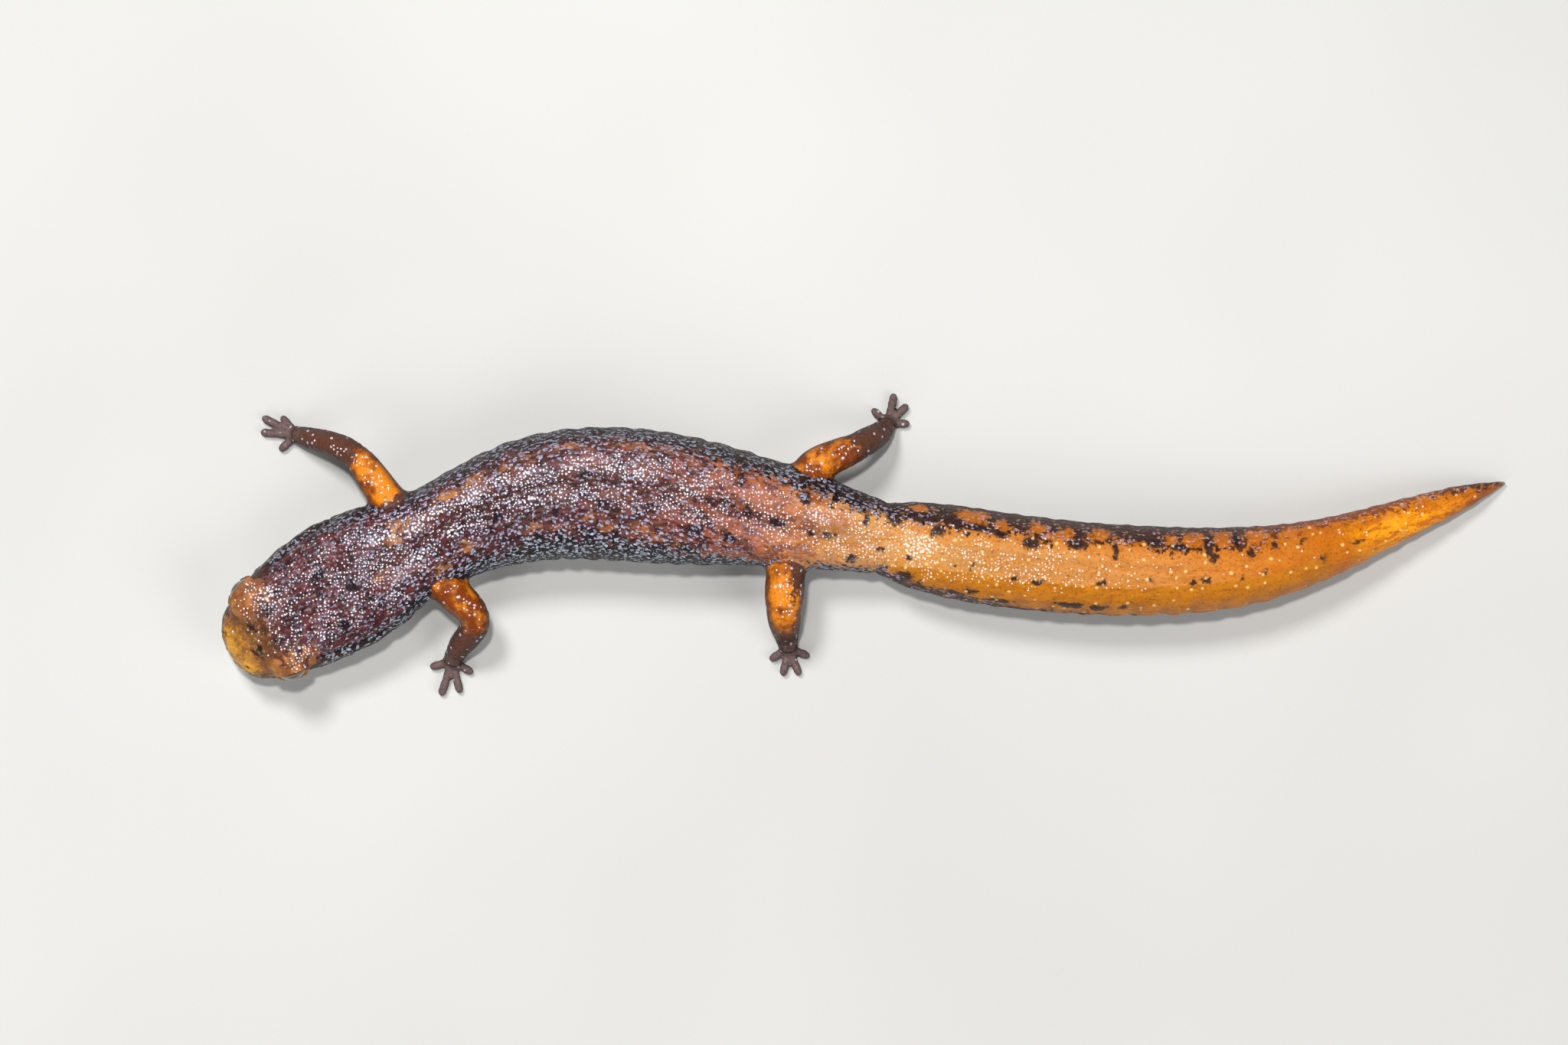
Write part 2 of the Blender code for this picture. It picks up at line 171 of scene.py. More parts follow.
# The middle line: x and y are running sums of the cosine and sine of its heading.
def spineAt(along):
    fine = np.linspace(0, body["length"], 1500)
    heading = np.radians(columnAt(body["headings"], 1, fine))
    place = []
    for start, slope in zip(body["snout"], (np.cos(heading), np.sin(heading))):
        gone = np.cumsum((slope[1:] + slope[:-1]) / 2 * np.diff(fine))
        place.append(start + np.interp(along, fine, np.concatenate([[0], gone])))
    return place[0], place[1], np.interp(along, fine, heading)


# The point so far behind the snout and to the animal's right, at a height.
def bodyPoint(along, toRight, height):
    x, y, heading = (float(v) for v in spineAt(along))
    return np.array([x - math.sin(heading) * toRight, y + math.cos(heading) * toRight, height])


# The same for a listed place, on the animal's right (1) or left (-1).
def mirrored(place, side):
    along, out, height = place
    return bodyPoint(along, side * out, height)


# Rises from 0 to 1 between two values: 3t squared minus 2t cubed.
def rise(value, low, high):
    t = np.clip((value - low) / (high - low), 0, 1)
    return t * t * (3 - 2 * t)


# Rises between the first two values and falls between the last two.
def between(value, low, full, fade, end):
    return rise(value, low, full) * (1 - rise(value, fade, end))


# A bell of height 1: e to the minus square of the distance over the width.
def bell(value, width):
    return np.exp(-((value / width) ** 2))


# A bell in every groove of an even row.
def rowOfBells(phase, width):
    return bell(phase - np.round(phase), width)


# The cosine or sine that draws an oval, made fuller by a power under 1.
def filled(wave):
    return np.sign(wave) * np.abs(wave) ** body["fullness"]


# A closed tube of rings: quads between neighbours, and a fan to a middle point at each end.
def closedRings(rings):
    count, sides = rings.shape[:2]
    here = np.arange(count * sides).reshape(count, sides)
    beside = np.roll(here, -1, axis=1)
    quads = np.stack([here[:-1], beside[:-1], beside[1:], here[1:]], axis=-1).reshape(-1, 4)
    points = np.concatenate([rings.reshape(-1, 3), rings[:1].mean(axis=1), rings[-1:].mean(axis=1)])
    middle = np.full(sides, here.size)
    fans = np.concatenate([np.stack([beside[0], here[0], middle], axis=1),
                           np.stack([here[-1], beside[-1], middle + 1], axis=1)])
    corners = points[np.concatenate([quads[:, :3], quads[:, [0, 2, 3]], fans])]
    if np.linalg.det(corners - points.mean(axis=0)).sum() < 0:  # inside out
        quads, fans = quads[:, ::-1], fans[:, ::-1]
    return points, quads, fans


# The trunk, head and tail: a filled oval at each station, square on the spine, flat at the floor.
def trunkRings():
    near = (0, 0.05, 0.11, 0.18, 0.27, 0.37, 0.48, 0.6)
    along = np.concatenate([near, np.arange(0.72, body["length"], body["stationStep"]), [body["length"]]])
    turn = np.linspace(0, 2 * np.pi, body["sides"], endpoint=False)
    half, low, high = (v[:, None] for v in girthAt(along))
    x, y, heading = (v[:, None] for v in spineAt(along))
    across = half * filled(np.cos(turn))
    height = np.maximum((low + high) / 2 + (high - low) / 2 * filled(np.sin(turn)), -0.05)
    return np.stack([x - np.sin(heading) * across, y + np.cos(heading) * across, height], -1)


# An ellipsoid by latitude and longitude, each axis times its radius, turned to its heading.
def ellipsoidRings(centre, radii, heading, sides=40, rows=24):
    lat = np.linspace(-np.pi / 2, np.pi / 2, rows + 2)[1:-1]
    lon = np.linspace(0, 2 * np.pi, sides, endpoint=False)
    a, b = (np.outer(np.cos(lat), wave) * radius for wave, radius in zip((np.cos(lon), np.sin(lon)), radii))
    c = np.outer(np.sin(lat), np.ones(sides)) * radii[2]
    cosine, sine = math.cos(math.radians(heading)), math.sin(math.radians(heading))
    return np.stack([a * cosine - b * sine, a * sine + b * cosine, c], axis=-1) + np.array(centre)


# A tube: a ring square to each point of the path, whose sideways arm stays level.
def tubeRings(path, radius, sides=28):
    ahead = np.gradient(path, axis=0)
    ahead /= np.linalg.norm(ahead, axis=1)[:, None]
    side = np.cross(ahead, (0, 0, 1))
    side /= np.linalg.norm(side, axis=1)[:, None]
    up = np.cross(side, ahead)
    turn = np.linspace(0, 2 * np.pi, sides, endpoint=False)[None, :, None]
    return path[:, None] + radius[:, None, None] * (np.cos(turn) * side[:, None] + np.sin(turn) * up[:, None])


# A leg's line in cubic pieces through its five points, its radius, and the share of its length gone.
# Half a sine wave of muscle swells the middle of each length.
def legLine(leg, count=70):
    path = np.array(leg["path"])
    chord = np.concatenate([[0], np.cumsum(np.linalg.norm(np.diff(path, axis=0), axis=1))])
    at = np.linspace(0, chord[-1], count)
    part = np.interp(at, chord, np.arange(5.0))
    swell = 1 + 0.05 * np.sin(np.pi * (part % 1)) * (part > 1) * (part < 3)
    radius = columnAt(np.column_stack([chord, leg["radius"]]), 1, at)
    return cubicPieces(chord, path, np.gradient(path, chord, axis=0), at), radius * swell, part / 4


# A toe: a level line out of the sole, slim at its joint, with a round padded end.
def toeLine(leg, toe, count=26):
    degrees, length = toe
    sole = np.array([*leg["path"][-1][:2], feet["toeHeight"]])
    direction = np.array([math.cos(math.radians(degrees)), math.sin(math.radians(degrees)), 0.0])
    root, joint, tip = feet["toeRadius"]
    rounding = 1 - 0.18 * np.cos(np.linspace(0, np.pi / 2, 11))[1:]
    t = np.concatenate([np.linspace(0, 0.82, count - 10), rounding])
    line = sole + direction * (feet["toeStart"] + (length - feet["toeStart"]) * t)[:, None]
    radius = np.interp(t, (0, 0.5, 0.82, 1), (root, joint, tip, tip))
    left = np.clip((length - feet["toeStart"]) * (1 - t) / tip, 0, 1)
    return line, radius * np.sqrt(np.clip(1 - (1 - left) ** 2, 0.02, 1)), 1 + 0.3 * t


# What the skin is drawn round.
def buildSkinShapes():
    shapes = [closedRings(trunkRings())]
    for side in (1, -1):
        brow = mirrored(eyes["brow"], side)
        shapes.append(closedRings(ellipsoidRings(brow, eyes["browRadii"], body["headings"][0][1])))
    for leg in legs.values():
        line, radius, _ = legLine(leg)
        shapes.append(closedRings(tubeRings(line, radius)))
        sole = (*leg["path"][-1][:2], feet["soleHeight"])
        heading = (leg["toes"][1][0] + leg["toes"][2][0]) / 2
        shapes.append(closedRings(ellipsoidRings(sole, feet["soleRadii"], heading)))
        for toe in leg["toes"]:
            line, radius, _ = toeLine(leg, toe)
            shapes.append(closedRings(tubeRings(line, radius, 20)))
    return shapes


def addObject(name, data):
    obj = bpy.data.objects.new(name, data)
    bpy.context.scene.collection.objects.link(obj)
    return obj


# One mesh from several closed shapes, each its points, quads and fans.
def meshFrom(name, shapes):
    faces, start = [], 0
    for points, *groups in shapes:
        faces += [face for group in groups for face in (group + start).tolist()]
        start += len(points)
    mesh = bpy.data.meshes.new(name)
    mesh.from_pydata(np.concatenate([shape[0] for shape in shapes]).tolist(), [], faces)
    mesh.validate()
    return addObject(name, mesh)


# What a mesh keeps for each of its points, edges, corners or faces, in rows.
def readMesh(items, what, width=1, kind=np.int32):
    flat = np.empty(len(items) * width, kind)
    items.foreach_get(what, flat)
    return flat.reshape(-1, width)


def pointsOf(mesh):
    return readMesh(mesh.vertices, "co", 3, np.float32).astype(float)


def normalsOf(mesh):
    return readMesh(mesh.vertex_normals, "vector", 3, np.float32).astype(float)


def setPoints(mesh, points):
    mesh.vertices.foreach_set("co", points.astype(np.float32).ravel())
    mesh.update()


# Turns a finished mesh from millimetres to metres and shades it smooth.
def finishMesh(mesh, points):
    setPoints(mesh, points * 0.001)
    mesh.polygons.foreach_set("use_smooth", np.ones(len(mesh.polygons), bool))


# Each point moves half way to the mean of its neighbours, then back a little more, which keeps the
# volume. Without the way back it melts.
def soften(points, edges, rounds, weight=1.0, back=0.53):
    near, far = np.concatenate([edges, edges[:, ::-1]]).T
    degree = np.bincount(near, minlength=len(points))
    for _ in range(rounds):
        for amount in (0.5, -back) if back else (0.5,):
            sums = [np.bincount(near, points[far, k], len(points)) for k in range(3)]
            mean = np.stack(sums, axis=1) / degree[:, None]
            points = points + np.reshape(weight, (-1, 1)) * amount * (mean - points)
    return points


# Where a point lies on the body: slide along the spine until the offset is square to it, then take
# the angle round the oval from the middle of the back, positive to the right.
def placeOnBody(points):
    fine = np.linspace(0, body["length"], 1500)
    along = np.interp(points[:, 0], spineAt(fine)[0], fine)
    for _ in range(5):
        x, y, heading = spineAt(along)
        along = along + (points[:, 0] - x) * np.cos(heading) + (points[:, 1] - y) * np.sin(heading)
        along = np.clip(along, 0, body["length"])
    x, y, heading = spineAt(along)
    toRight = -(points[:, 0] - x) * np.sin(heading) + (points[:, 1] - y) * np.cos(heading)
    half, low, high = girthAt(along)
    up = (points[:, 2] - (low + high) / 2) / ((high - low) / 2)
    turn = np.arctan2(toRight / half, up)
    size = np.sqrt((half**2 + ((high - low) / 2) ** 2) / 2)
    outside = (np.hypot(toRight / half, up) - 1) * size
    turned = turn - np.radians(columnAt(body["roll"], 1, along)) * np.cos(turn / 2)
    return {"along": along, "toRight": toRight, "turn": turned, "around": turned * size, "outside": outside}


# The nearest leg or toe: how far outside its tube, how far down the leg, and which leg.
def placeOnLegs(points):
    outside, run, which = np.full(len(points), 99.0), np.zeros(len(points)), np.zeros(len(points))
    for number, leg in enumerate(legs.values()):
        for line, radius, runs in [legLine(leg)] + [toeLine(leg, toe) for toe in leg["toes"]]:
            near = np.flatnonzero(((points > line.min(0) - 2) & (points < line.max(0) + 2)).all(axis=1))
            gaps = np.linalg.norm(points[near, None] - line[None], axis=2) - radius
            best, gap = gaps.argmin(axis=1), gaps.min(axis=1)
            nearer = gap < outside[near]
            near = near[nearer]
            outside[near], run[near], which[near] = gap[nearer], runs[best[nearer]], number
    return {"outside": outside, "run": run, "which": which}


# Those shapes as one closed surface on an even grid.
def closedSkin():
    rough = meshFrom("roughSkin", buildSkinShapes())
    remesh = rough.modifiers.new("oneSurface", "REMESH")
    remesh.mode, remesh.voxel_size = "VOXEL", skin["voxel"]
    mesh = bpy.data.meshes.new_from_object(rough.evaluated_get(bpy.context.evaluated_depsgraph_get()))
    bpy.data.objects.remove(rough)
    mesh.name = "salamanderSkin"
    return addObject(mesh.name, mesh)


# Halves the grid on the head and feet.
def refine(obj):
    mesh = obj.data
    points = pointsOf(mesh)
    fine = placeOnBody(points)["along"] < skin["fineHead"]
    for leg in legs.values():
        fine |= np.linalg.norm(points - np.array(leg["path"][-1]), axis=1) < skin["fineFoot"]
    loops = readMesh(mesh.loops, "vertex_index")[:, 0]
    starts = readMesh(mesh.polygons, "loop_start")[:, 0]
    mesh.vertices.foreach_set("select", fine)
    mesh.edges.foreach_set("select", fine[readMesh(mesh.edges, "vertices", 2)].all(axis=1))
    mesh.polygons.foreach_set("select", np.logical_and.reduceat(fine[loops], starts))
    for other in bpy.context.selected_objects:
        other.select_set(False)
    obj.select_set(True)
    bpy.context.view_layer.objects.active = obj
    bpy.ops.object.mode_set(mode="EDIT")
    bpy.ops.mesh.subdivide(number_cuts=1)
    bpy.ops.object.mode_set(mode="OBJECT")


# Grooves and folds as one height along the normals: depth times a bell across the line, where it
# shows.
def skinRelief(points, place, leg):
    along, turn, around, toRight = (place[k] for k in ("along", "turn", "around", "toRight"))
    degrees = np.degrees(np.abs(turn))
    height = points[:, 2]
    # down the middle of the back, a wide soft valley with a fine line in it
    valley = 0.75 * bell(around, 0.36) + 0.45 * bell(around, 0.08)
    relief = -skin["backGroove"] * valley * between(along, 7.6, 10.5, 29, 34)
    relief -= 0.05 * bell(around, 0.5) * between(along, 33.5, 36, 44, 52)
    # rib grooves, leaning back as they go down, and fainter ones round the tail
    start, end = skin["ribRange"]
    onFlank = between(degrees, 32, 62, 120, 140) * rise(leg["outside"], 0.1, 0.5)
    onTail = rise(degrees, 25, 60) * between(along, 33.5, 35, 50, 57)
    for depth, first, spacing, where in (
            (skin["ribGroove"], start, skin["ribSpacing"],
             onFlank * between(along, start - 0.3, start + 1, end - 1.5, end)),
            (skin["tailGroove"], 33.4, 1.3, onTail)):
        relief -= depth * rowOfBells((along + 0.004 * (degrees - 80) - first) / spacing, 0.2) * where
    jaw = degrees - 58 - 3.5 * np.clip(along - 3.2, 0, 4)  # from the eye back over the jaw muscle
    mouth = height - 1.6 + 0.03 * along - 0.1 * bell(along - 4.4, 0.8)  # turned up a little before its corner
    gape = (1 - rise(along, 4.7, 5.3)) * rise(degrees, 60, 75)
    # depth, distance from its line, width, where it shows
    for depth, gap, width, where in (
            # the ring at the tail's root, the throat fold, and two folds up the neck
            (0.09, along - 32.1 - 0.3 * np.cos(turn), 0.22, rise(degrees, 15, 60)),
            (skin["throatFold"], along - 8.3 + 0.012 * (degrees - 120), 0.2, rise(degrees, 70, 120)),
            (0.09, along - 7.1 - 0.01 * (degrees - 90), 0.14, between(degrees, 48, 70, 120, 150)),
            (0.08, along - 9.6 + 0.008 * (degrees - 90), 0.18, between(degrees, 42, 70, 130, 160)),
            # the creases over the jaw muscle, and its swell
            (0.14, jaw, 5.5, between(along, 2.9, 3.4, 6.6, 7.4)),
            (0.06, jaw + 17, 4.0, between(along, 3.8, 4.4, 5.6, 6.6)),
            (-0.07, jaw - 16, 12.0, between(along, 3.4, 5.0, 6.2, 7.4)),
            # the mouth, and the slight lip over it
            (skin["mouthGroove"], mouth, 0.07, gape), (-0.05, mouth - 0.2, 0.14, gape)):
        relief -= depth * bell(gap, width) * where
    # nostrils, each with a rim and a fine groove down to the lip
    back, degreesDown, wide = skin["nostril"]
    for side in (1, -1):
        half, low, high = (float(v) for v in girthAt(back))
        turnDown = math.radians(side * degreesDown)
        nostril = bodyPoint(back, half * filled(math.sin(turnDown)),
                            (low + high) / 2 + (high - low) / 2 * filled(math.cos(turnDown)))
        nearest = np.linalg.norm(points - nostril, axis=1).argmin()
        gap = np.linalg.norm(points - points[nearest], axis=1)
        relief += 0.04 * bell(gap - 2.2 * wide, wide) - 0.17 * bell(gap, wide)
        down = rise(mouth, 0, 0.1) * (1 - rise(height, height[nearest] - 0.25, height[nearest] - 0.1))
        relief -= 0.035 * bell(toRight - side * abs(toRight[nearest]) * 1.12, 0.05) * down * (along < 0.9)
    # the head fills up between the lids
    forehead = bell(along - 2.5, 1.25) * (1 - rise(np.abs(toRight), 0.95, 1.45)) * rise(height, 2.6, 3.1)
    return relief + skin["foreheadFill"] * forehead


# Creases across the joints of legs and toes: rows of narrow bells.
def legRelief(run):
    joints = bell(run - 0.5, 0.07) + bell(run - 0.76, 0.06)
    toes = rowOfBells((run - 1) * 12, 0.2) * rise(run, 1.03, 1.08) * 0.5
    return -skin["jointCrease"] * (rowOfBells(run * 26, 0.18) * np.clip(joints, 0, 1) + toes)


# Soft unevenness: three slow waves across each other.
def unevenness(a, b):
    wave = np.sin(3.1 * a + 1.9 * b + 0.7) * np.sin(1.7 * a - 4.3 * b + 2.0)
    wave += 0.7 * np.sin(5.3 * a + 0.9 * b + 4.0) * np.sin(2.3 * b + 0.8 * a)
    return wave + 0.5 * np.sin(7.9 * a - 3.2 * b + 1.3)


# An eye's centre, the line of its gaze, and the way the head points.
def eyeFrame(side):
    heading = math.radians(body["headings"][0][1])
    ahead = -np.array([math.cos(heading), math.sin(heading), 0.0])
    sideways = side * np.array([-math.sin(heading), math.cos(heading), 0.0])
    out, forward, up = eyes["gaze"]
    axis = out * sideways + forward * ahead + np.array([0, 0, up])
    return mirrored(eyes["place"], side), axis / np.linalg.norm(axis), ahead


# The lids: near an eye a point moves along its line from the eye's centre. Inside the gap it goes
# under the ball, at the rim it stands a lid's thickness over it, beyond it keeps its place.
def shapeLids(points):
    lidness = np.zeros(len(points))
    ball, lid, deep = eyes["radius"], eyes["lidThickness"], eyes["socketDepth"]
    for side in (1, -1):
        centre, axis, ahead = eyeFrame(side)
        along = ahead - axis * np.dot(ahead, axis)
        along /= np.linalg.norm(along)
        up = np.cross(axis, along) * -side
        length = np.linalg.norm(points - centre, axis=1)
        unit = (points - centre) / length[:, None]
        angle = np.degrees(np.arccos(np.clip(unit @ axis, -1, 1)))
        around = np.arctan2(unit @ up, unit @ along)
        wide, tall = eyes["opening"]
        gap = angle * np.hypot(np.cos(around) / wide, np.sin(around) / tall)
        near = (length < 1.5) & (angle < 100)
        over = ball - deep + (deep + lid) * rise(gap, 0.94, 1.16)
        keep = rise(gap, 1.15, 1.7)
        beyond = np.maximum(over * (1 - keep) + length * keep, length)
        beyond = np.maximum(beyond, ball + lid * (1 - keep) + 0.03)
        moved = centre + unit * np.where(gap < 1.15, over, beyond)[:, None]
        points = np.where(near[:, None], moved, points)
        lidness = np.maximum(lidness, bell(length - ball, 0.55) * near)
    return points, lidness


markings = {
    # distance behind the snout, how far down each side the back's colour reaches, in degrees
    "backEdgeRight": (
        (0, 62), (7, 54), (9, 50), (12, 45), (15, 41), (20, 43), (24, 39), (27, 42), (31, 38), (34, 33),
        (38, 34), (46, 33), (50.5, 36), (52.5, 52), (55, 46), (58, 40), (61.9, 20),
    ),
    "backEdgeLeft": (
        (0, 62), (7, 56), (9, 54), (12, 55), (20, 55), (27, 58), (30, 55), (33, 51), (36, 55), (39, 64),
        (43, 80), (47, 92), (54, 98), (61.9, 104),
    ),
    "bellyEdge": (
        (0, 122), (6, 118), (8, 116), (12, 124), (20, 128), (30, 122), (36, 130), (50, 142), (61.9, 150),
    ),
    # how far from the middle the painted glint dots spread, and how thickly they stand
    "dotReach": (
        (0, 1), (1.2, 1.3), (3, 1.9), (7, 2.2), (9, 1.7), (12, 1.15), (16, 1.1), (20, 1.35), (27, 1.45),
        (31, 1.3), (36, 1.3), (42, 1.1), (46, 0.8), (61.9, 0.6),
    ),
    "dotShare": (
        (0, 0), (1.3, 0.04), (2.2, 0.4), (2.8, 0.6), (6, 0.72), (9, 0.95), (12, 1.05), (22, 0.95),
        (26, 0.7), (30, 0.75), (35, 0.8), (40, 0.46), (43, 0.22), (45.5, 0.04), (61.9, 0.03),
    ),
    # where the painted glint dots crowd into painted glare until they nearly touch, also on the lids:
    # distance behind the snout, to the animal's right of the back's middle, length, width
    "glintCrowds": (
        (2.9, 1.05, 0.95, 0.95), (2.85, -1.4, 1.15, 1), (8.9, 0.75, 1.3, 0.5), (10.2, 0.45, 1.2, 0.5),
        (10, -0.6, 1.3, 0.4), (11.4, 0.65, 1.6, 0.5), (12, -0.45, 1.2, 0.4), (13.2, 0.6, 1.5, 0.5),
        (14.9, 0.68, 0.9, 0.45), (16, 0.65, 0.9, 0.4), (17.5, 0.45, 0.5, 0.6), (18.4, 0.75, 0.7, 0.4),
        (19.5, 0.55, 1, 0.5), (20.8, 0.4, 0.6, 0.6), (23, 0.15, 0.8, 0.3), (15.8, -0.55, 0.6, 0.4),
        (33.9, 0.1, 1.6, 1), (28.8, 0.55, 0.8, 0.5),
    ),
    "spotGrowth": 1.15,  # the dark spots are drawn this much larger than listed
    # dark spots, the same way
    "spots": (
        (1.65, 0.3, 0.3, 0.26), (1.3, -0.45, 0.42, 0.34), (2.35, -0.45, 0.3, 0.22), (2.7, 0.5, 0.3, 0.26),
        (5.5, 0.7, 0.55, 0.4), (6.6, -0.28, 0.5, 0.34), (5.5, -1.45, 0.5, 0.42), (7.5, -1.4, 0.34, 0.5),
        (14.2, -0.75, 0.42, 0.3), (16.9, -1.3, 0.2, 0.55), (18.4, 0.25, 0.45, 0.5),
        (15.8, -2.3, 0.42, 0.46), (16.9, -2.4, 0.4, 0.44), (18.7, -2.4, 0.55, 0.55),
        (19.8, -2.45, 0.45, 0.55), (22, -2.6, 0.6, 0.34), (23.2, -2.4, 0.55, 0.5),
        (23.6, -1.45, 0.65, 0.38), (25.1, -1.4, 0.65, 0.46), (23.4, -0.15, 0.36, 0.24),
        (24.8, 0.05, 0.55, 0.32), (25.3, 1.25, 0.34, 0.42), (25.8, -0.1, 0.3, 0.5),
        (27.2, -0.15, 0.9, 0.28), (28.2, 1.25, 0.52, 0.52), (28.8, -0.25, 0.24, 0.22),
        (29.6, -0.15, 0.78, 0.3), (30.9, -1.1, 0.5, 0.46), (30.9, 1.35, 0.38, 0.38),
        (31.2, 0.85, 0.22, 0.65), (32.1, -0.45, 0.4, 0.26), (32.5, 1.15, 0.6, 0.5),
        (33.5, -0.4, 0.28, 0.22), (33.5, -1.5, 0.72, 0.55), (33.6, 1.4, 0.9, 0.3), (34.5, 0.9, 0.52, 0.54),
        (35.3, 1.5, 0.3, 0.28), (35.6, -0.45, 0.26, 0.12), (36.3, -0.4, 0.3, 0.2), (36.3, 1.4, 1.3, 0.24),
        (37.4, 1.25, 0.62, 0.26), (38.5, -0.7, 0.46, 0.2), (38.9, 1, 0.76, 0.54),
        (39.3, -0.75, 0.66, 0.24), (41, 1.15, 0.84, 0.48), (42.3, -0.6, 0.36, 0.36),
        (42.8, 0.9, 0.26, 0.66), (44.5, -0.3, 0.26, 0.22), (44.7, 1.4, 0.6, 0.42), (45.8, 1.2, 0.7, 0.36),
        (46.4, -0.45, 0.24, 0.18), (47, -0.4, 0.44, 0.3), (47.2, 1.25, 0.3, 0.9), (47.4, 0.65, 0.3, 0.34),
        (48.6, 1.45, 0.28, 0.9), (48.6, -0.4, 0.22, 0.16), (49.2, 0.65, 0.3, 0.46),
        (49.7, -0.3, 0.24, 0.15), (50.4, 0.8, 0.3, 0.3), (51.8, 0.75, 0.26, 0.24),
        (52.5, -0.35, 0.26, 0.3), (54.2, -0.1, 0.45, 0.2), (35.7, -1.95, 0.5, 0.28),
        (36.5, -1.7, 0.44, 0.34), (37.7, -2.1, 1.3, 0.26), (40.9, -1.9, 1.15, 0.36), (42.1, -2, 0.8, 0.36),
        (43.3, -1.9, 0.36, 0.26),
    ),
    # warm patches: tan on the snout and lids, rust on the flanks, orange on the tail
    "warmPatches": (
        (0.55, -0.2, 1.05, 2.1), (1.4, -1.1, 1.3, 0.8), (2.3, -1.75, 2.5, 1.7), (2.2, 1.5, 2.1, 1.9),
        (1.9, 0.7, 1.1, 0.5), (8, -0.45, 0.7, 0.3), (9.3, 0.45, 0.5, 0.3), (9.8, 0.85, 0.7, 0.4),
        (10.8, -1.6, 0.8, 0.35), (12.2, -1.3, 0.7, 0.3), (12.3, 1.1, 0.9, 0.45), (13.7, 1.2, 0.8, 0.45),
        (15, 1.15, 0.5, 0.3), (15.9, 1.3, 0.6, 0.3), (17.7, 1.65, 1, 0.35), (18.7, 1.7, 0.9, 0.4),
        (20.5, 1.75, 1.1, 0.45), (21.4, 1.35, 0.7, 0.3), (22, 1.8, 0.8, 0.4), (22.9, 1.35, 0.8, 0.3),
        (24.2, 1.7, 0.6, 0.3), (25.2, 1.6, 0.9, 0.4), (26, 1.5, 0.7, 0.3), (28.8, 1.35, 0.9, 0.3),
        (15.7, -1.75, 0.7, 0.3), (17.3, -1.95, 1, 0.3), (18.5, -1.75, 0.8, 0.35), (19.4, -2.05, 0.8, 0.35),
        (20.9, -1.95, 0.9, 0.4), (21.9, -2.3, 0.6, 0.3), (22.8, -2.3, 1, 0.35), (27, -1.7, 1.4, 0.35),
        (33.5, 2.1, 0.8, 0.5), (36, 2.1, 1.3, 0.8), (37.4, 1.7, 0.45, 0.55), (39.1, 1.85, 0.7, 0.6),
        (39.8, 1.5, 0.8, 0.35), (40.5, 1.9, 0.5, 0.4), (42.1, 1.8, 0.8, 0.6), (43.7, 1.35, 0.6, 0.2),
        (45.4, 1.7, 0.6, 0.5), (46.5, 1.6, 0.9, 0.9), (47.9, 1.6, 0.8, 0.95), (49.6, 1.5, 1.2, 0.9),
        (51.3, 1.4, 0.9, 0.8),
    ),
    # pale pink patches of the back, the same way
    "palePatches": (
        (10.6, 0.55, 2.6, 0.8), (13.4, 0.75, 2.2, 0.7), (15.5, 0.6, 1.2, 0.6), (18.3, 0.7, 2.2, 0.9),
        (20.9, 0.55, 1.4, 0.9), (22.9, 0.1, 1.5, 0.9), (23.9, 0.9, 1.3, 0.7), (26.3, 0.7, 2.4, 1.1),
        (26.4, -0.9, 1.6, 0.9), (29.3, 0.7, 2, 0.9), (17, -0.5, 1.2, 0.4), (20, -0.5, 1, 0.4),
        (9, -0.9, 1.6, 0.5),
    ),
    # where the tail's tan back meets the amber of its left side
    "amberEdge": (
        (30, -3), (33, -0.95), (36, -0.74), (41, -0.74), (44.5, -0.68), (48, -0.55), (51.5, -0.35),
        (53, 0.1), (55, 0.6), (61.9, 0.9),
    ),
    # where down each leg the orange starts and ends, and how dark its tailward face is
    "legOrange": {"frontRight": (0.22, 0.44, 0), "frontLeft": (0.22, 0.5, 0),
                  "hindRight": (0.26, 0.42, 0.2), "hindLeft": (0.2, 0.6, 0.9)},
}


# The distance outside the nearest listed oval: the radius in its own scale, less 1.
def outsideOvals(name, along, toRight, growth=1):
    nearest = np.full(len(along), 9.0)
    for middle, right, *sizes in markings[name]:
        length, width = (size * growth for size in sizes)
        oval = np.hypot((along - middle) / length * 2, (toRight - right) / width * 2) - 1
        nearest = np.minimum(nearest, oval * (length + width) / 4)
    return nearest


def addValues(mesh, name, values):
    mesh.attributes.new(name, "FLOAT", "POINT").data.foreach_set("value", values.astype(np.float32))


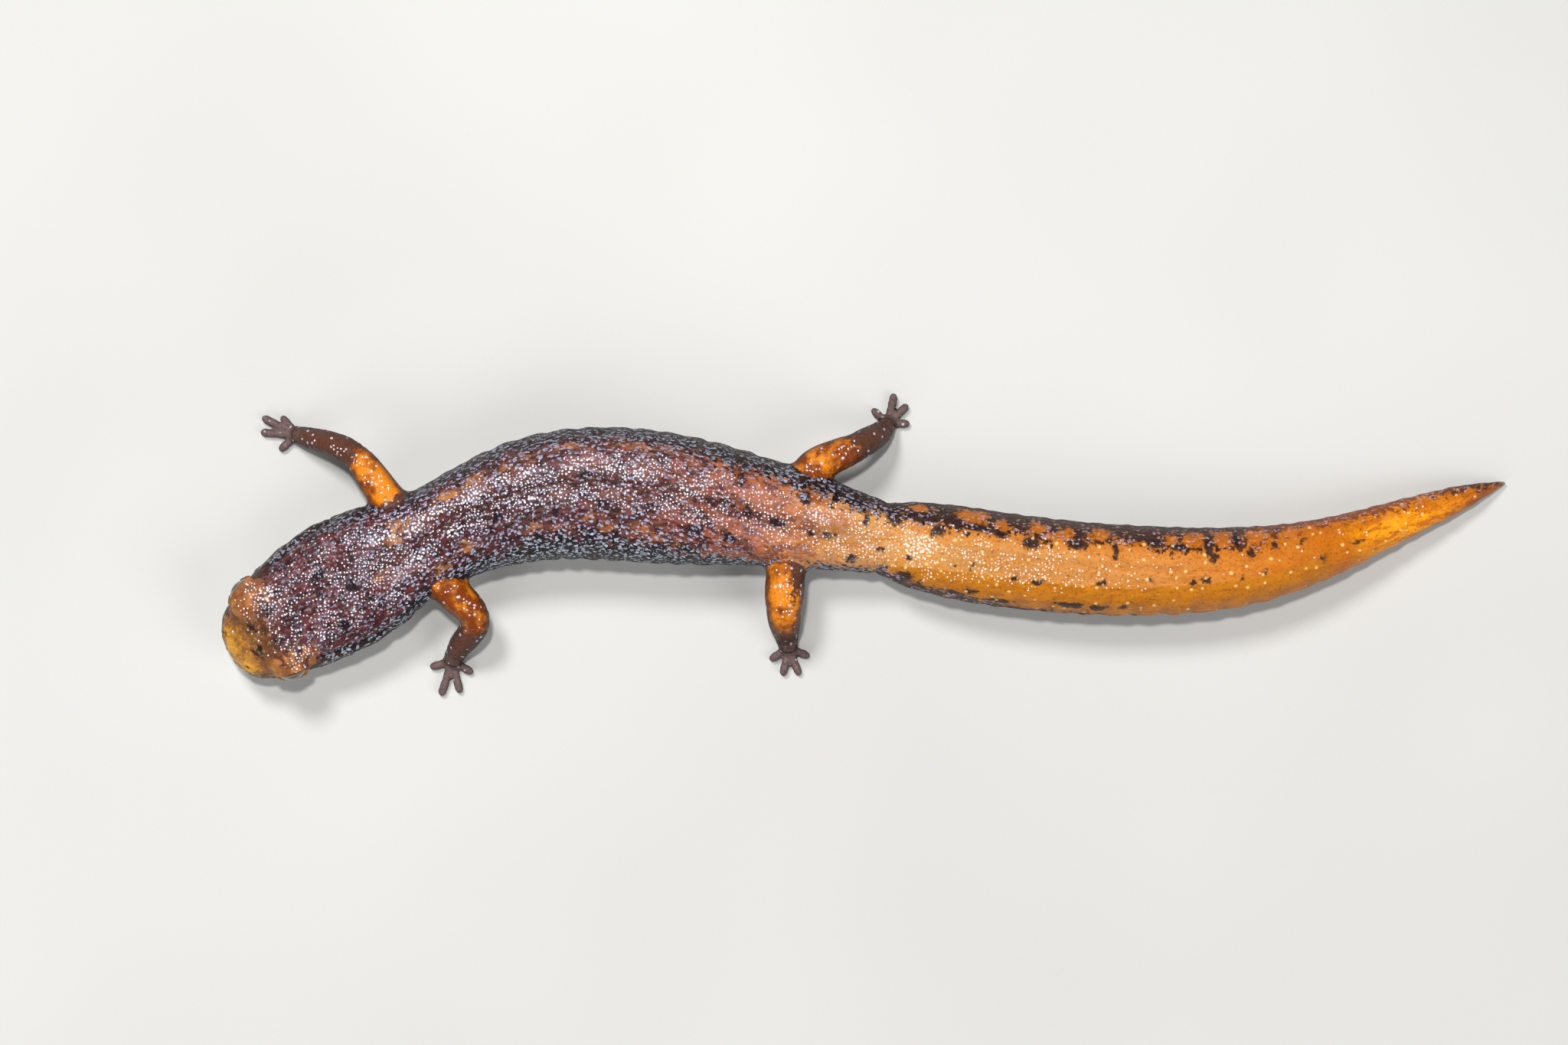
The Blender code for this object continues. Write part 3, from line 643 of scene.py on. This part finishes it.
# The skin's points, how deep each lies in a fold, and how near it is to a lid.
def shapeSkin(mesh):
    edges = readMesh(mesh.edges, "vertices", 2)
    points = soften(pointsOf(mesh), edges, skin["softenRounds"])
    place, leg = placeOnBody(points), placeOnLegs(points)
    seam = bell(place["outside"] - leg["outside"], 0.55) * (leg["outside"] < 0.9) * (leg["run"] < 0.75)
    points = soften(points, edges, skin["webRounds"], seam, back=0)
    # toe points move along their normals onto the toes' round tubes
    for _ in range(3):
        setPoints(mesh, points)
        leg = placeOnLegs(points)
        points = points - normalsOf(mesh) * (leg["outside"] * rise(leg["run"], 1.03, 1.09))[:, None]
    # the brows melt into the head at their foot
    brow = np.minimum(*(np.linalg.norm(points - mirrored(eyes["brow"], side), axis=1) for side in (1, -1)))
    browFoot = bell(placeOnBody(points)["outside"] - 0.02, 0.22) * (1 - rise(brow, 1.25, 1.6))
    points, lidness = shapeLids(soften(points, edges, skin["browRounds"], browFoot, back=0))
    lids = np.clip(lidness * 1.5, 0, 1)
    points = soften(points, edges, 2, lids * 0.6, back=0)
    setPoints(mesh, points)
    place, leg = placeOnBody(points), placeOnLegs(points)
    along, around, onBody = place["along"], place["around"], rise(leg["outside"], 0, 0.4)
    relief = skinRelief(points, place, leg) * onBody * (1 - 0.9 * lids) + legRelief(leg["run"]) * (1 - onBody)
    fold = np.clip(-relief / 0.09, 0, 1) * (1 - 0.7 * bell(around, 0.3) * (along > 9))
    wrinkled = (0.4 + 0.6 * onBody) * (1 - 0.8 * lids) * (leg["run"] < 0.9)
    relief += skin["wrinkle"] * unevenness(along, around) * wrinkled
    points = points + normalsOf(mesh) * relief[:, None]
    # the tail draws in to a rounded tip, as an ellipse does
    along = placeOnBody(points)["along"]
    _, low, high = girthAt(along)
    spine = np.column_stack([*spineAt(along)[:2], low * 0.7 + high * 0.3])
    gone = np.clip(along - skin["tipStart"], 0, None) / (body["length"] + 0.02 - skin["tipStart"])
    points = spine + (points - spine) * np.sqrt(np.clip(1 - gone**1.6, 0.01, 1))[:, None]
    points[:, 2] = np.maximum(points[:, 2], 0)
    return points, fold, lidness


# What the colours follow: places on the body and legs, and distances to the marks.
def markSkin(mesh, points, fold, lidness):
    place, leg = placeOnBody(points), placeOnLegs(points)
    along, around, run, facingUp = place["along"], place["around"], leg["run"], normalsOf(mesh)[:, 2]
    legness = rise(place["outside"] - leg["outside"], -0.15, 0.35)
    backRight, backLeft, bellyEdge, reach, share, amberEdge = (
        columnAt(markings[name], 1, along) for name in (
            "backEdgeRight", "backEdgeLeft", "bellyEdge", "dotReach", "dotShare", "amberEdge"))
    turn, size = np.abs(place["turn"]), np.abs(around) / np.maximum(np.abs(place["turn"]), 0.01)
    backEdge = np.where(place["turn"] > 0, backRight, backLeft)
    # painted glint dots thin out sideways and in the groove, and crowd in the listed ovals
    thickly = share * (1 - rise(np.abs(around), 0.55 * reach, 1.15 * reach))
    thickly *= 1 - 0.8 * bell(around, 0.13) * between(along, 9, 10.5, 28, 30)
    thickly = np.maximum(thickly, 1.7 * (1 - rise(outsideOvals("glintCrowds", along, around), -0.12, 0.22)))
    orange = np.zeros(len(points))
    for number, (name, oneLeg) in enumerate(legs.items()):
        start, end, dark = markings["legOrange"][name]
        middle = np.interp(run * 4, np.arange(5), np.array(oneLeg["path"])[:, 0])
        rear = rise(points[:, 0] - middle, -0.15, 0.5) * (1 - rise(run, 0.3, 0.52))
        tone = between(run, start - 0.1, start + 0.02, end - 0.03, end + 0.1) * (1 - dark * rear)
        orange = np.where(leg["which"] == number, tone, orange)
    # painted glints on the legs: dots only along their tops, which face the lights
    legTopGlints = (0.22 + 0.2 * orange) * (run < 1) * rise(facingUp, 0.75, 0.97)
    thickly = thickly * (1 - legness) + legTopGlints * legness
    values = {
        "along": along, "around": around, "legness": legness, "legRun": run, "legOrange": orange,
        "fold": fold, "lid": lidness, "facingUp": facingUp, "amber": around - amberEdge,
        "dotShare": thickly * rise(facingUp, 0.4, 0.75),  # painted glints: dots only on skin facing up toward the lights, steep skin has none
        "belowBack": (turn - np.radians(backEdge)) * size, "belowSide": (turn - np.radians(bellyEdge)) * size,
        "spots": outsideOvals("spots", along, around, markings["spotGrowth"]),
        **{name: outsideOvals(name, along, around) for name in ("warmPatches", "palePatches")}}
    for name, numbers in values.items():
        addValues(mesh, name, numbers)


def buildSkin():
    obj = closedSkin()
    mesh = obj.data
    print("stage: closed skin,", len(mesh.polygons), "faces")
    refine(obj)
    points, fold, lidness = shapeSkin(mesh)
    setPoints(mesh, points)
    markSkin(mesh, points, fold, lidness)
    finishMesh(mesh, points)
    print("stage: skin folded,", len(mesh.loops) - 2 * len(mesh.polygons), "triangles")
    return obj


# An eyeball: a sphere whose clear front stands out by a bell of the angle from the gaze, which is
# kept for the iris.
def buildEye(side, name):
    centre, axis, _ = eyeFrame(side)
    polar = np.linspace(0, np.pi, 42)[1:-1, None, None]
    lon = np.linspace(0, 2 * np.pi, 56, endpoint=False)[:, None]
    radius = eyes["radius"] * (1 + 0.035 * bell(polar, 0.55))
    first = np.cross(axis, (0, 0, 1))
    first /= np.linalg.norm(first)
    ring = np.cos(lon) * first + np.sin(lon) * np.cross(axis, first)
    shape = closedRings(centre + radius * (np.cos(polar) * axis + np.sin(polar) * ring))
    shape[0][-2:] = centre + axis * radius[0, 0, 0], centre - axis * eyes["radius"]
    obj = meshFrom(name, [shape])
    away = shape[0] - centre
    front = away @ axis / np.linalg.norm(away, axis=1)
    addValues(obj.data, "fromGaze", np.degrees(np.arccos(np.clip(front, -1, 1))))
    finishMesh(obj.data, shape[0])
    return obj


# Turns an sRGB hex colour to linear: divide by 12.92 below 0.04045, else a power of 2.4.
def linear(hexColour):
    values = [int(hexColour[i:i + 2], 16) / 255 for i in (1, 3, 5)]
    return (*(v / 12.92 if v <= 0.04045 else ((v + 0.055) / 1.055) ** 2.4 for v in values), 1.0)


# Adds one node with its settings, then feeds its open sockets in order, or those named in one
# dictionary: with a value, a hex colour, a socket, or a node's first open output.
def addNode(tree, kind, settings, *feeds):
    node = tree.nodes.new("ShaderNode" + kind)
    for name, value in settings.items():
        if name == "stops":
            ramp = node.color_ramp.elements
            while len(ramp) < len(value):
                ramp.new(0.5)
            ramp.foreach_set("position", [position for position, _ in value])
            ramp.foreach_set("color", [part for _, colour in value for part in linear(colour)])
        else:
            setattr(node, name, value)
    sockets = [socket for socket in node.inputs if socket.enabled]
    if feeds and isinstance(feeds[0], dict):
        sockets, feeds = [node.inputs[name] for name in feeds[0]], feeds[0].values()
    for socket, value in zip(sockets, feeds):
        if isinstance(value, bpy.types.Node):
            value = [output for output in value.outputs if output.enabled][0]
        if isinstance(value, bpy.types.NodeSocket):
            tree.links.new(value, socket)
        else:
            socket.default_value = linear(value) if isinstance(value, str) else value
    return node


# Kinds of node with their settings.
mapped, eased = ("MapRange", {}), ("MapRange", {"interpolation_type": "SMOOTHSTEP"})
times, plus, timesPlus, under, divide, absolute = (("Math", {"operation": word}) for word in (
    "MULTIPLY", "ADD", "MULTIPLY_ADD", "LESS_THAN", "DIVIDE", "ABSOLUTE"))
scale, stretch, bend = (("VectorMath", {"operation": word}) for word in ("SCALE", "MULTIPLY", "MULTIPLY_ADD"))
blend, mix, split = ("Mix", {"data_type": "RGBA"}), ("Mix", {}), ("SeparateColor", {})
noise, cellsInSpace = ("TexNoise", {}), ("TexVoronoi", {})
cellsFromAbove = ("TexVoronoi", {"voronoi_dimensions": "2D"})


# A new empty material, and the node adder for its tree.
def newMaterial(name):
    material = bpy.data.materials.new(name)
    material.use_nodes = True
    material.node_tree.nodes.clear()
    return material, partial(addNode, material.node_tree)


moistSkin = {
    # share of the body's length, colour
    "backTones": (
        (0, "#9A6A38"), (0.025, "#86582F"), (0.045, "#74483A"), (0.09, "#6E3E34"), (0.13, "#683A32"),
        (0.18, "#5A342C"), (0.25, "#5E4032"), (0.34, "#7E4E3C"), (0.385, "#A66448"), (0.42, "#B8724C"),
        (0.45, "#D08A56"), (0.475, "#D89858"), (0.51, "#DEA864"), (0.6, "#DA9E58"), (0.72, "#E8A050"),
        (0.8, "#DC8A28"), (0.86, "#C87604"), (0.9, "#FFAE04"), (0.93, "#FFAC04"), (0.965, "#D8801C"),
        (0.99, "#A0603A"),
    ),
    "backMottle": (
        (0, "#A4733C"), (0.04, "#4A2826"), (0.14, "#34151A"), (0.34, "#341B1A"), (0.385, "#4A2A24"),
        (0.42, "#704038"), (0.45, "#9A6044"), (0.49, "#C88644"), (0.54, "#DC9C50"), (0.7, "#DC9444"),
        (0.82, "#CC7A14"), (0.93, "#D67C0A"), (1, "#6A4028"),
    ),
    "sideTones": (
        (0, "#5A4026"), (0.03, "#4A3A30"), (0.14, "#241A18"), (0.24, "#140E0E"), (0.45, "#190F0E"),
        (0.6, "#472613"), (0.78, "#4A290F"), (0.845, "#9A500A"), (0.93, "#94500F"), (0.97, "#5A3A2C"),
    ),
    "warmTones": (
        (0, "#F0B840"), (0.016, "#E2A640"), (0.026, "#B87E48"), (0.04, "#D29058"), (0.1, "#C48460"),
        (0.16, "#D09654"), (0.24, "#AE7448"), (0.38, "#B07042"), (0.46, "#BA6A20"), (0.53, "#D8840C"),
        (0.8, "#DA820C"), (1, "#D07810"),
    ),
    # share of the way round from the left side to the right, colour
    "flecks": (
        (0, "#C2CCDC"), (0.2, "#C2C8E4"), (0.4, "#B2AEC8"), (0.6, "#B2AEC8"), (0.8, "#B4B6D0"),
        (1, "#B4B8C8"),
    ),
    "warmDeep": "#7A4420", "rightSide": "#43291C", "belly": "#D2D6D6", "bellySpot": "#141418",
    "haze": "#9294A6", "net": "#2A181C", "vein": "#8C1C3A", "pale": "#CE9486", "darkSpot": "#1B1222",
    "rim": "#C67614", "amber": "#CE8606", "amberDeep": "#A25E0A", "grooveBand": "#7A4A3C",
    "groove": "#2C1416", "legOrange": "#EA9420", "legDeep": "#7C3206", "legBrown": "#6A4434",
    "legFoot": "#7A6866", "legShade": "#34180E", "legFleck": "#DCD2DE", "tailFleck": "#C6A2AA",
    "cream": "#F4D08A", "dot": "#FBFAFD", "speck": "#A07058",
    "depth": 1.15,  # over 1 deepens every pigment under the flecks and dots
    "dotSpacing": 0.152, "dotRadius": 0.0335,
}


# Moist amphibian skin, thin and full of mucous glands: to the eye a broken colour under a clear wet
# film, with every gland a tiny raised grain, and on it a pale dot painted as its glint.
def makeMoistSkin():
    material, add = newMaterial("moistSalamanderSkin")

    # masks multiplied together
    def product(mask, *limits):
        for limit in limits:
            mask = add(*times, mask, limit)
        return mask

    # a tone over a colour as far as its masks let it, each a node or a listed tone's name
    def lay(colour, tone, *masks):
        return add(*blend, product(*masks), moistSkin.get(colour, colour), moistSkin.get(tone, tone))

    # a mask with a torn edge: distance plus ragged noise, then smoothly 0 to most
    def torn(distance, tear, start, end, most=1):
        return add(*eased, add(*timesPlus, ragged, tear, distance), start, end, 0, most)

    # a value drifting up and down in slow patches
    def drift(value, most):
        return add(*plus, value, add(*mapped, slow, 0.25, 0.75, -most, most))

    inMm = add(*scale, add("TexCoord", {}).outputs["Object"], 1000)
    (along, around, legness, legRun, legOrange, belowBack, belowSide, spots, warmPatches, palePatches,
     amber, dotShare, fold, lid, facingUp) = (
        add("Attribute", {"attribute_name": name}).outputs["Fac"] for name in (
            "along around legness legRun legOrange belowBack belowSide spots warmPatches palePatches "
            "amber dotShare fold lid facingUp").split())
    onSkin = add("CombineXYZ", {}, along, around)
    # patches, fine raggedness, clumps, and streaks and threads drawn out along the body
    slow = add(*noise, inMm, 0.8, 5, 0.65)
    fine = add(*noise, inMm, 3.6, 4, 0.62)
    clump = add(*noise, inMm, 1.1, 4, 0.6)
    ragged = add(*mapped, fine, 0.36, 0.64, -0.16, 0.16)
    streak = add(*noise, add(*stretch, onSkin, (0.55, 1.5, 1)), 1.5, 6, 0.68, 2, 0.5)
    thread = add(*noise, add(*stretch, onSkin, (1.6, 7, 1)), 1, 4, 0.6, 2, 0.6)
    offTail, onTail, offSnout, behindNeck, behindHips = (add(*eased, along, *ends) for ends in (
        (29.5, 20), (31, 34), (1.4, 3.2), (8, 10), (28, 38)))
    offLid = add(*eased, lid, 0.5, 0.15)
    offBelly = add(*eased, belowSide, 0.3, -0.1)
    offLeg = add(*mapped, legness, 0.6, 0.2)
    # the back: two tones in patches, bluish bloom, darker net, maroon veins, pale patches
    part = drift(add(*mapped, along, 0, body["length"]), 0.015)
    backTone, backMottle, sideTone, warmTone = (
        add("ValToRGB", {"stops": moistSkin[name]}, part)
        for name in ("backTones", "backMottle", "sideTones", "warmTones"))
    mottled = add(*eased, streak, 0.46, 0.58)
    colour = lay(backTone, backMottle, mottled)
    bloom = product(add(*eased, clump, 0.42, 0.6, 0.05, 0.45),
                    add(*mapped, dotShare, 0.3, 1.7, 0.2, 1.3))
    net = add(*eased, thread, 0.48, 0.6, 0, 0.85)
    vein = add(*absolute, add(*plus, thread, -0.47))
    vein = add(*eased, vein, 0.032, 0.01, 0, 0.55)
    for tone, mask in (("haze", bloom), ("net", net), ("vein", vein)):
        colour = lay(colour, tone, mask, offTail, offSnout)
    colour = lay(colour, "pale", torn(palePatches, 2, 0.3, -0.3, 0.24))
    # the tail's redder rim, and the amber of its left side with a clean edge
    colour = lay(colour, "rim", add(*eased, belowBack, -0.75, -0.05, 0, 0.6), onTail)
    amberTone = lay("amber", "amberDeep", mottled, 0.4)
    offTip = add(*eased, along, 53.5, 52)
    colour = lay(colour, amberTone, torn(amber, 0.35, 0.08, -0.08, 0.95), offTip, onTail)
    # the groove: a brown band with a dark line in it
    fromMiddle = add(*absolute, around)
    for wide, strength, tone in ((0.18, 0.5, "grooveBand"), (0.06, 0.8, "groove")):
        colour = lay(colour, tone, torn(fromMiddle, 0.35, wide, wide * 0.35, strength), behindNeck, offTail)
    # the sides, browner on the right
    side = lay(sideTone, "rightSide", add(*eased, around, 1, 2, 0, 0.7), mottled)
    edge = torn(drift(belowBack, 0.4), 2.4, -0.16, 0.16)
    colour = lay(colour, side, edge)
    # the warm patches, broken by the same streaks
    warmMottle = add(*eased, clump, 0.42, 0.62, 0, 0.7)
    warmTone = lay(warmTone, "warmDeep", add(*mix, onTail, warmMottle, 0.1))
    warmBreak = add(*eased, streak, 0.59, 0.49, 0.12)
    warmBreak = add(*mix, onTail, add(*mix, offSnout, 0.85, warmBreak), 0.9)
    warmed = product(torn(warmPatches, 1.5, 0.22, -0.1, 0.92), warmBreak)
    colour = lay(colour, warmTone, warmed)
    # the white belly with its black spots, about 0.7 mm across
    belly = lay("belly", "bellySpot", add(*eased, add(*cellsInSpace, inMm, 0.75), 0.34, 0.28))
    colour = lay(colour, belly, add(*eased, drift(belowSide, 0.6), -0.2, 0.2))
    # the listed dark spots
    spotted = torn(spots, 0.95, 0.08, -0.12, 0.9)
    colour = lay(colour, "darkSpot", spotted)
    # the legs: mottled orange, then brown, paler at the feet, with painted shade down their steep sides, and
    # flecks
    legWarm = lay("legOrange", "legDeep", add(*eased, slow, 0.4, 0.58, 0, 0.9))
    leg = lay("legBrown", "legFoot", add(*mapped, legRun, 0.7, 1.05))
    leg = lay(leg, legWarm, torn(legOrange, 2, 0.3, 0.66))
    # painted shade: the legs darken as their skin turns from facing up
    leg = lay(leg, "legShade", add(*eased, facingUp, 0.85, 0.25, 0, 0.8))
    cells = add(*cellsInSpace, inMm, 4.2)
    chance = add(*split, cells.outputs["Color"])
    shown = add(*under, chance, add(*mapped, legOrange, 0, 1, 0.34, 0.13))
    leg = lay(leg, "legFleck", torn(cells, 0.6, 0.32, 0.2, 0.8), shown)
    colour = lay(colour, leg, torn(legness, 1.2, 0.35, 0.65))
    # painted shade: folds and grooves darkened by their depth
    colour = lay(colour, "groove", fold, 0.7)
    # a fine speckle of pigment cells, 0.1 mm, over every colour
    speck = add(*eased, add(*noise, inMm, 9, 3, 0.7), 0.5, 0.68, 0, 0.55)
    speck = product(speck, offBelly)
    colour = add("Mix", {"data_type": "RGBA", "blend_type": "MULTIPLY"}, speck, colour, moistSkin["speck"])
    colour = add("Gamma", {}, colour, moistSkin["depth"])
    # bluish flecks along the flanks, 0.2 mm long, fewer on the back, the tail and low down
    # the flecks are partly the skin's own pale flecks, partly painted highlights off its wet grains
    drawn = add(*stretch, onSkin, (4.2, 6.6, 1))
    wobble = add(*noise, inMm, 6, 2).outputs["Color"]
    flecks = add(*cellsFromAbove, add(*bend, wobble, (1.6, 1.6, 0), drawn), 1)
    fleck = torn(add(*timesPlus, edge, -0.05, flecks), 0.6, 0.44, 0.24)
    chance = add(*split, flecks.outputs["Color"]).outputs
    many = add(*mix, onTail, add(*eased, belowBack, -2.2, -0.2, 0.6, 0.97),
               add(*eased, belowBack, -0.4, 0.2, 0, 0.4))
    many = product(many, add(*mapped, fine, 0.42, 0.57, 0.15, 1.3),
                   add(*eased, belowBack, 0.2, 2, 1, 0.35))
    onBack = product(add(*eased, along, 23, 27, 1, 0.4), add(*eased, along, 6, 9.5, 0.6))
    softer = add(*eased, belowBack, -1.4, -0.2, 0.78)
    limits = (
        add(*under, chance[0], many), add(*mapped, chance[1], 0, 1, 0.45),
        add(*mix, offSnout, 0.35, softer), add(*mix, edge, onBack, 1), offLeg, offLid, offBelly,
        add(*mapped, warmed, 0, 1, 1, 0.8), add(*eased, around, 1.2, 2.2, 1, 0.72))
    fleckTone = add("ValToRGB", {"stops": moistSkin["flecks"]}, add(*mapped, around, -3.2, 3.2))
    fleckTone = lay("cream", lay(fleckTone, "tailFleck", behindHips), offSnout)
    colour = lay(colour, fleckTone, fleck, *limits)
    # larger cream grains on the tail
    grains = add(*cellsFromAbove, onSkin, 1.5)
    limits = (add(*under, add(*split, grains.outputs["Color"]), 0.5),
              add(*mapped, edge, 0, 1, 1, 0.25), onTail, offLeg, offBelly)
    colour = lay(colour, "cream", torn(grains, 0.25, 0.13, 0.08, 0.7), *limits)
    # painted glints: pale dots under 0.1 mm across on the wet grains, larger where they crowd into painted
    # glare
    bent = add(*noise, inMm, 0.9, 1).outputs["Color"]
    bent = add(*bend, bent, (0.3, 0.3, 0), inMm)
    dots = add(*cellsFromAbove, bent, 1 / moistSkin["dotSpacing"], 0, 0.5, 2, 0.84)
    chance = add(*split, dots.outputs["Color"]).outputs
    crowded = add(*mapped, dotShare, 1, 1.7, 0, 0.45)
    size = add(*plus, add(*mapped, chance[2], 0, 1, 0.72, 1.24), product(crowded, offLid))
    reach = moistSkin["dotRadius"] / moistSkin["dotSpacing"]
    dot = add(*eased, add(*divide, dots, size), reach * 1.3, reach * 0.75)
    many = product(add(*mapped, clump, 0.39, 0.56, 0.15, 1.15), dotShare)
    limits = (add(*under, chance[0], add(*plus, many, crowded)),
              add(*mapped, chance[1], 0, 1, 0.6), add(*mapped, spotted, 0, 1, 1, 0.25))
    colour = lay(colour, "dot", dot, *limits)
    # relief in metres: wrinkles, and in the wet film the glands' grains as well
    width = 0.1  # the bump node's own filter, in its own units
    normal = add("Bump", {}, 0.7, 0.00008, width, product(thread, offSnout, offBelly, offLeg))
    normal = add("Bump", {}, 0.6, 0.00008, width, fine, normal)
    grained = add("Bump", {}, 0.6, 0.00003, width, add(*eased, dots, 0.55, 0.1), normal)
    grained = add("Bump", {}, 0.5, 0.00004, width, speck, grained)
    wet = add(*eased, facingUp, 0, 0.6, 0.16, 0.65)
    add("OutputMaterial", {}, add("BsdfPrincipled", {}, {
        "Base Color": colour, "Roughness": 0.65, "IOR": 1.38, "Specular IOR Level": 0.08, "Coat Weight": wet,
        "Coat Roughness": 0.08, "Coat IOR": 1.33, "Normal": normal, "Coat Normal": grained}))
    return material


wetEye = {
    # share of 120 degrees from the gaze, colour
    "iris": (
        (0.0, "#040303"), (0.172, "#060404"), (0.182, "#A87C3C"), (0.205, "#6E4A22"), (0.3, "#4A2E18"),
        (0.37, "#2A180F"), (0.42, "#120B09"), (1.0, "#120B09"),
    ),
    "dust": "#A07434",
    "dustRange": ((21.5, 23), (46, 38)),  # degrees from the gaze where the gold dust starts and ends
}


# A wet eye: black pupil and coppery iris under a smooth clear cornea, which shows sharp highlights.
def makeWetEye():
    material, add = newMaterial("wetCopperEye")
    place = add("TexCoord", {}).outputs["Object"]
    angle = add("Attribute", {"attribute_name": "fromGaze"}).outputs["Fac"]
    ray = add(*noise, place, 6000, 3)
    angle = add(*plus, angle, add(*mapped, ray, 0.3, 0.7, -0.8, 0.8))
    colour = add("ValToRGB", {"stops": wetEye["iris"]}, add(*mapped, angle, 0, 120))
    dust = add(*mapped, add(*cellsInSpace, place, 16000), 0.32, 0.12, 0, 0.8)
    for ends in wetEye["dustRange"]:
        dust = add(*times, dust, add(*mapped, angle, *ends))
    colour = add(*blend, dust, colour, wetEye["dust"])
    add("OutputMaterial", {}, add("BsdfPrincipled", {}, {
        "Base Color": colour, "Roughness": 0.35, "IOR": 1.38, "Coat Weight": 1.0, "Coat Roughness": 0.03}))
    return material


salamander = buildSkin()
salamander.data.materials.append(makeMoistSkin())
flesh = [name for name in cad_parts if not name.startswith("eye_")]
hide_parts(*flesh)
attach(salamander, "root")
eyeMaterial = makeWetEye()
for side, name in ((1, "right"), (-1, "left")):
    eye = buildEye(side, name + "Eye")
    eye.data.materials.append(eyeMaterial)
    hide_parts("eye_" + name)
    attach(eye, "root")
print("stage: skin and eyes dressed")

studio = {
    "board": ((0.3, "#D4D3CF"), (0.7, "#CBCAC6")),
    "boardSize": 0.5,
    "lens": 100.0,
    "camera": (-0.003862, 0.001035, 0.2031),
    # place, how wide, watts
    "lights": (((-0.08, 0.12, 0.2), 0.06, 0.37), ((0.16, -0.1, 0.16), 0.16, 0.19),
               ((-0.1, -0.16, 0.12), 0.12, 0.09), ((-0.02, 0.05, 0.24), 0.018, 0.3)),
    "sky": "#F2F5FA",
    "skyStrength": 0.13,
}


# Eggshell paint on board: flat and pale, with the faintest cloudiness.
def makePaintedBoard():
    material, add = newMaterial("paleEggshellBoard")
    cloud = add(*noise, add("TexCoord", {}).outputs["Object"], 30, 2)
    colour = add("ValToRGB", {"stops": studio["board"]}, cloud)
    add("OutputMaterial", {}, add("BsdfPrincipled", {}, {"Base Color": colour, "Roughness": 0.8}))
    return material


# A pale board, four round softboxes, a dim sky and the camera overhead.
def buildStudio():
    scene = bpy.context.scene
    reach = studio["boardSize"] / 2
    mesh = bpy.data.meshes.new("floor")
    corners = [(x * reach, y * reach, -0.00002) for x, y in ((-1, -1), (1, -1), (1, 1), (-1, 1))]
    mesh.from_pydata(corners, [], [(0, 1, 2, 3)])
    mesh.materials.append(makePaintedBoard())
    floor = addObject("floor", mesh)
    for number, (place, width, watts) in enumerate(studio["lights"]):
        lamp = bpy.data.lights.new("softbox%d" % number, "AREA")
        lamp.shape, lamp.size, lamp.energy = "DISK", width, watts
        light = addObject(lamp.name, lamp)
        light.location = place
        aim = np.array(place) / np.linalg.norm(place)
        light.rotation_euler = (math.acos(aim[2]), 0, math.atan2(aim[1], aim[0]) + math.pi / 2)
    scene.world = bpy.data.worlds.new("studioSky")
    scene.world.use_nodes = True
    sky = scene.world.node_tree.nodes["Background"].inputs
    sky["Color"].default_value, sky["Strength"].default_value = linear(studio["sky"]), studio["skyStrength"]
    scene.view_settings.view_transform = "Standard"
    lens = bpy.data.cameras.new("camera")
    lens.lens, lens.sensor_width, lens.clip_start, lens.clip_end = studio["lens"], 36.0, 0.01, 5.0
    scene.camera = addObject("camera", lens)
    scene.camera.location = studio["camera"]


buildStudio()
print("stage: studio ready")
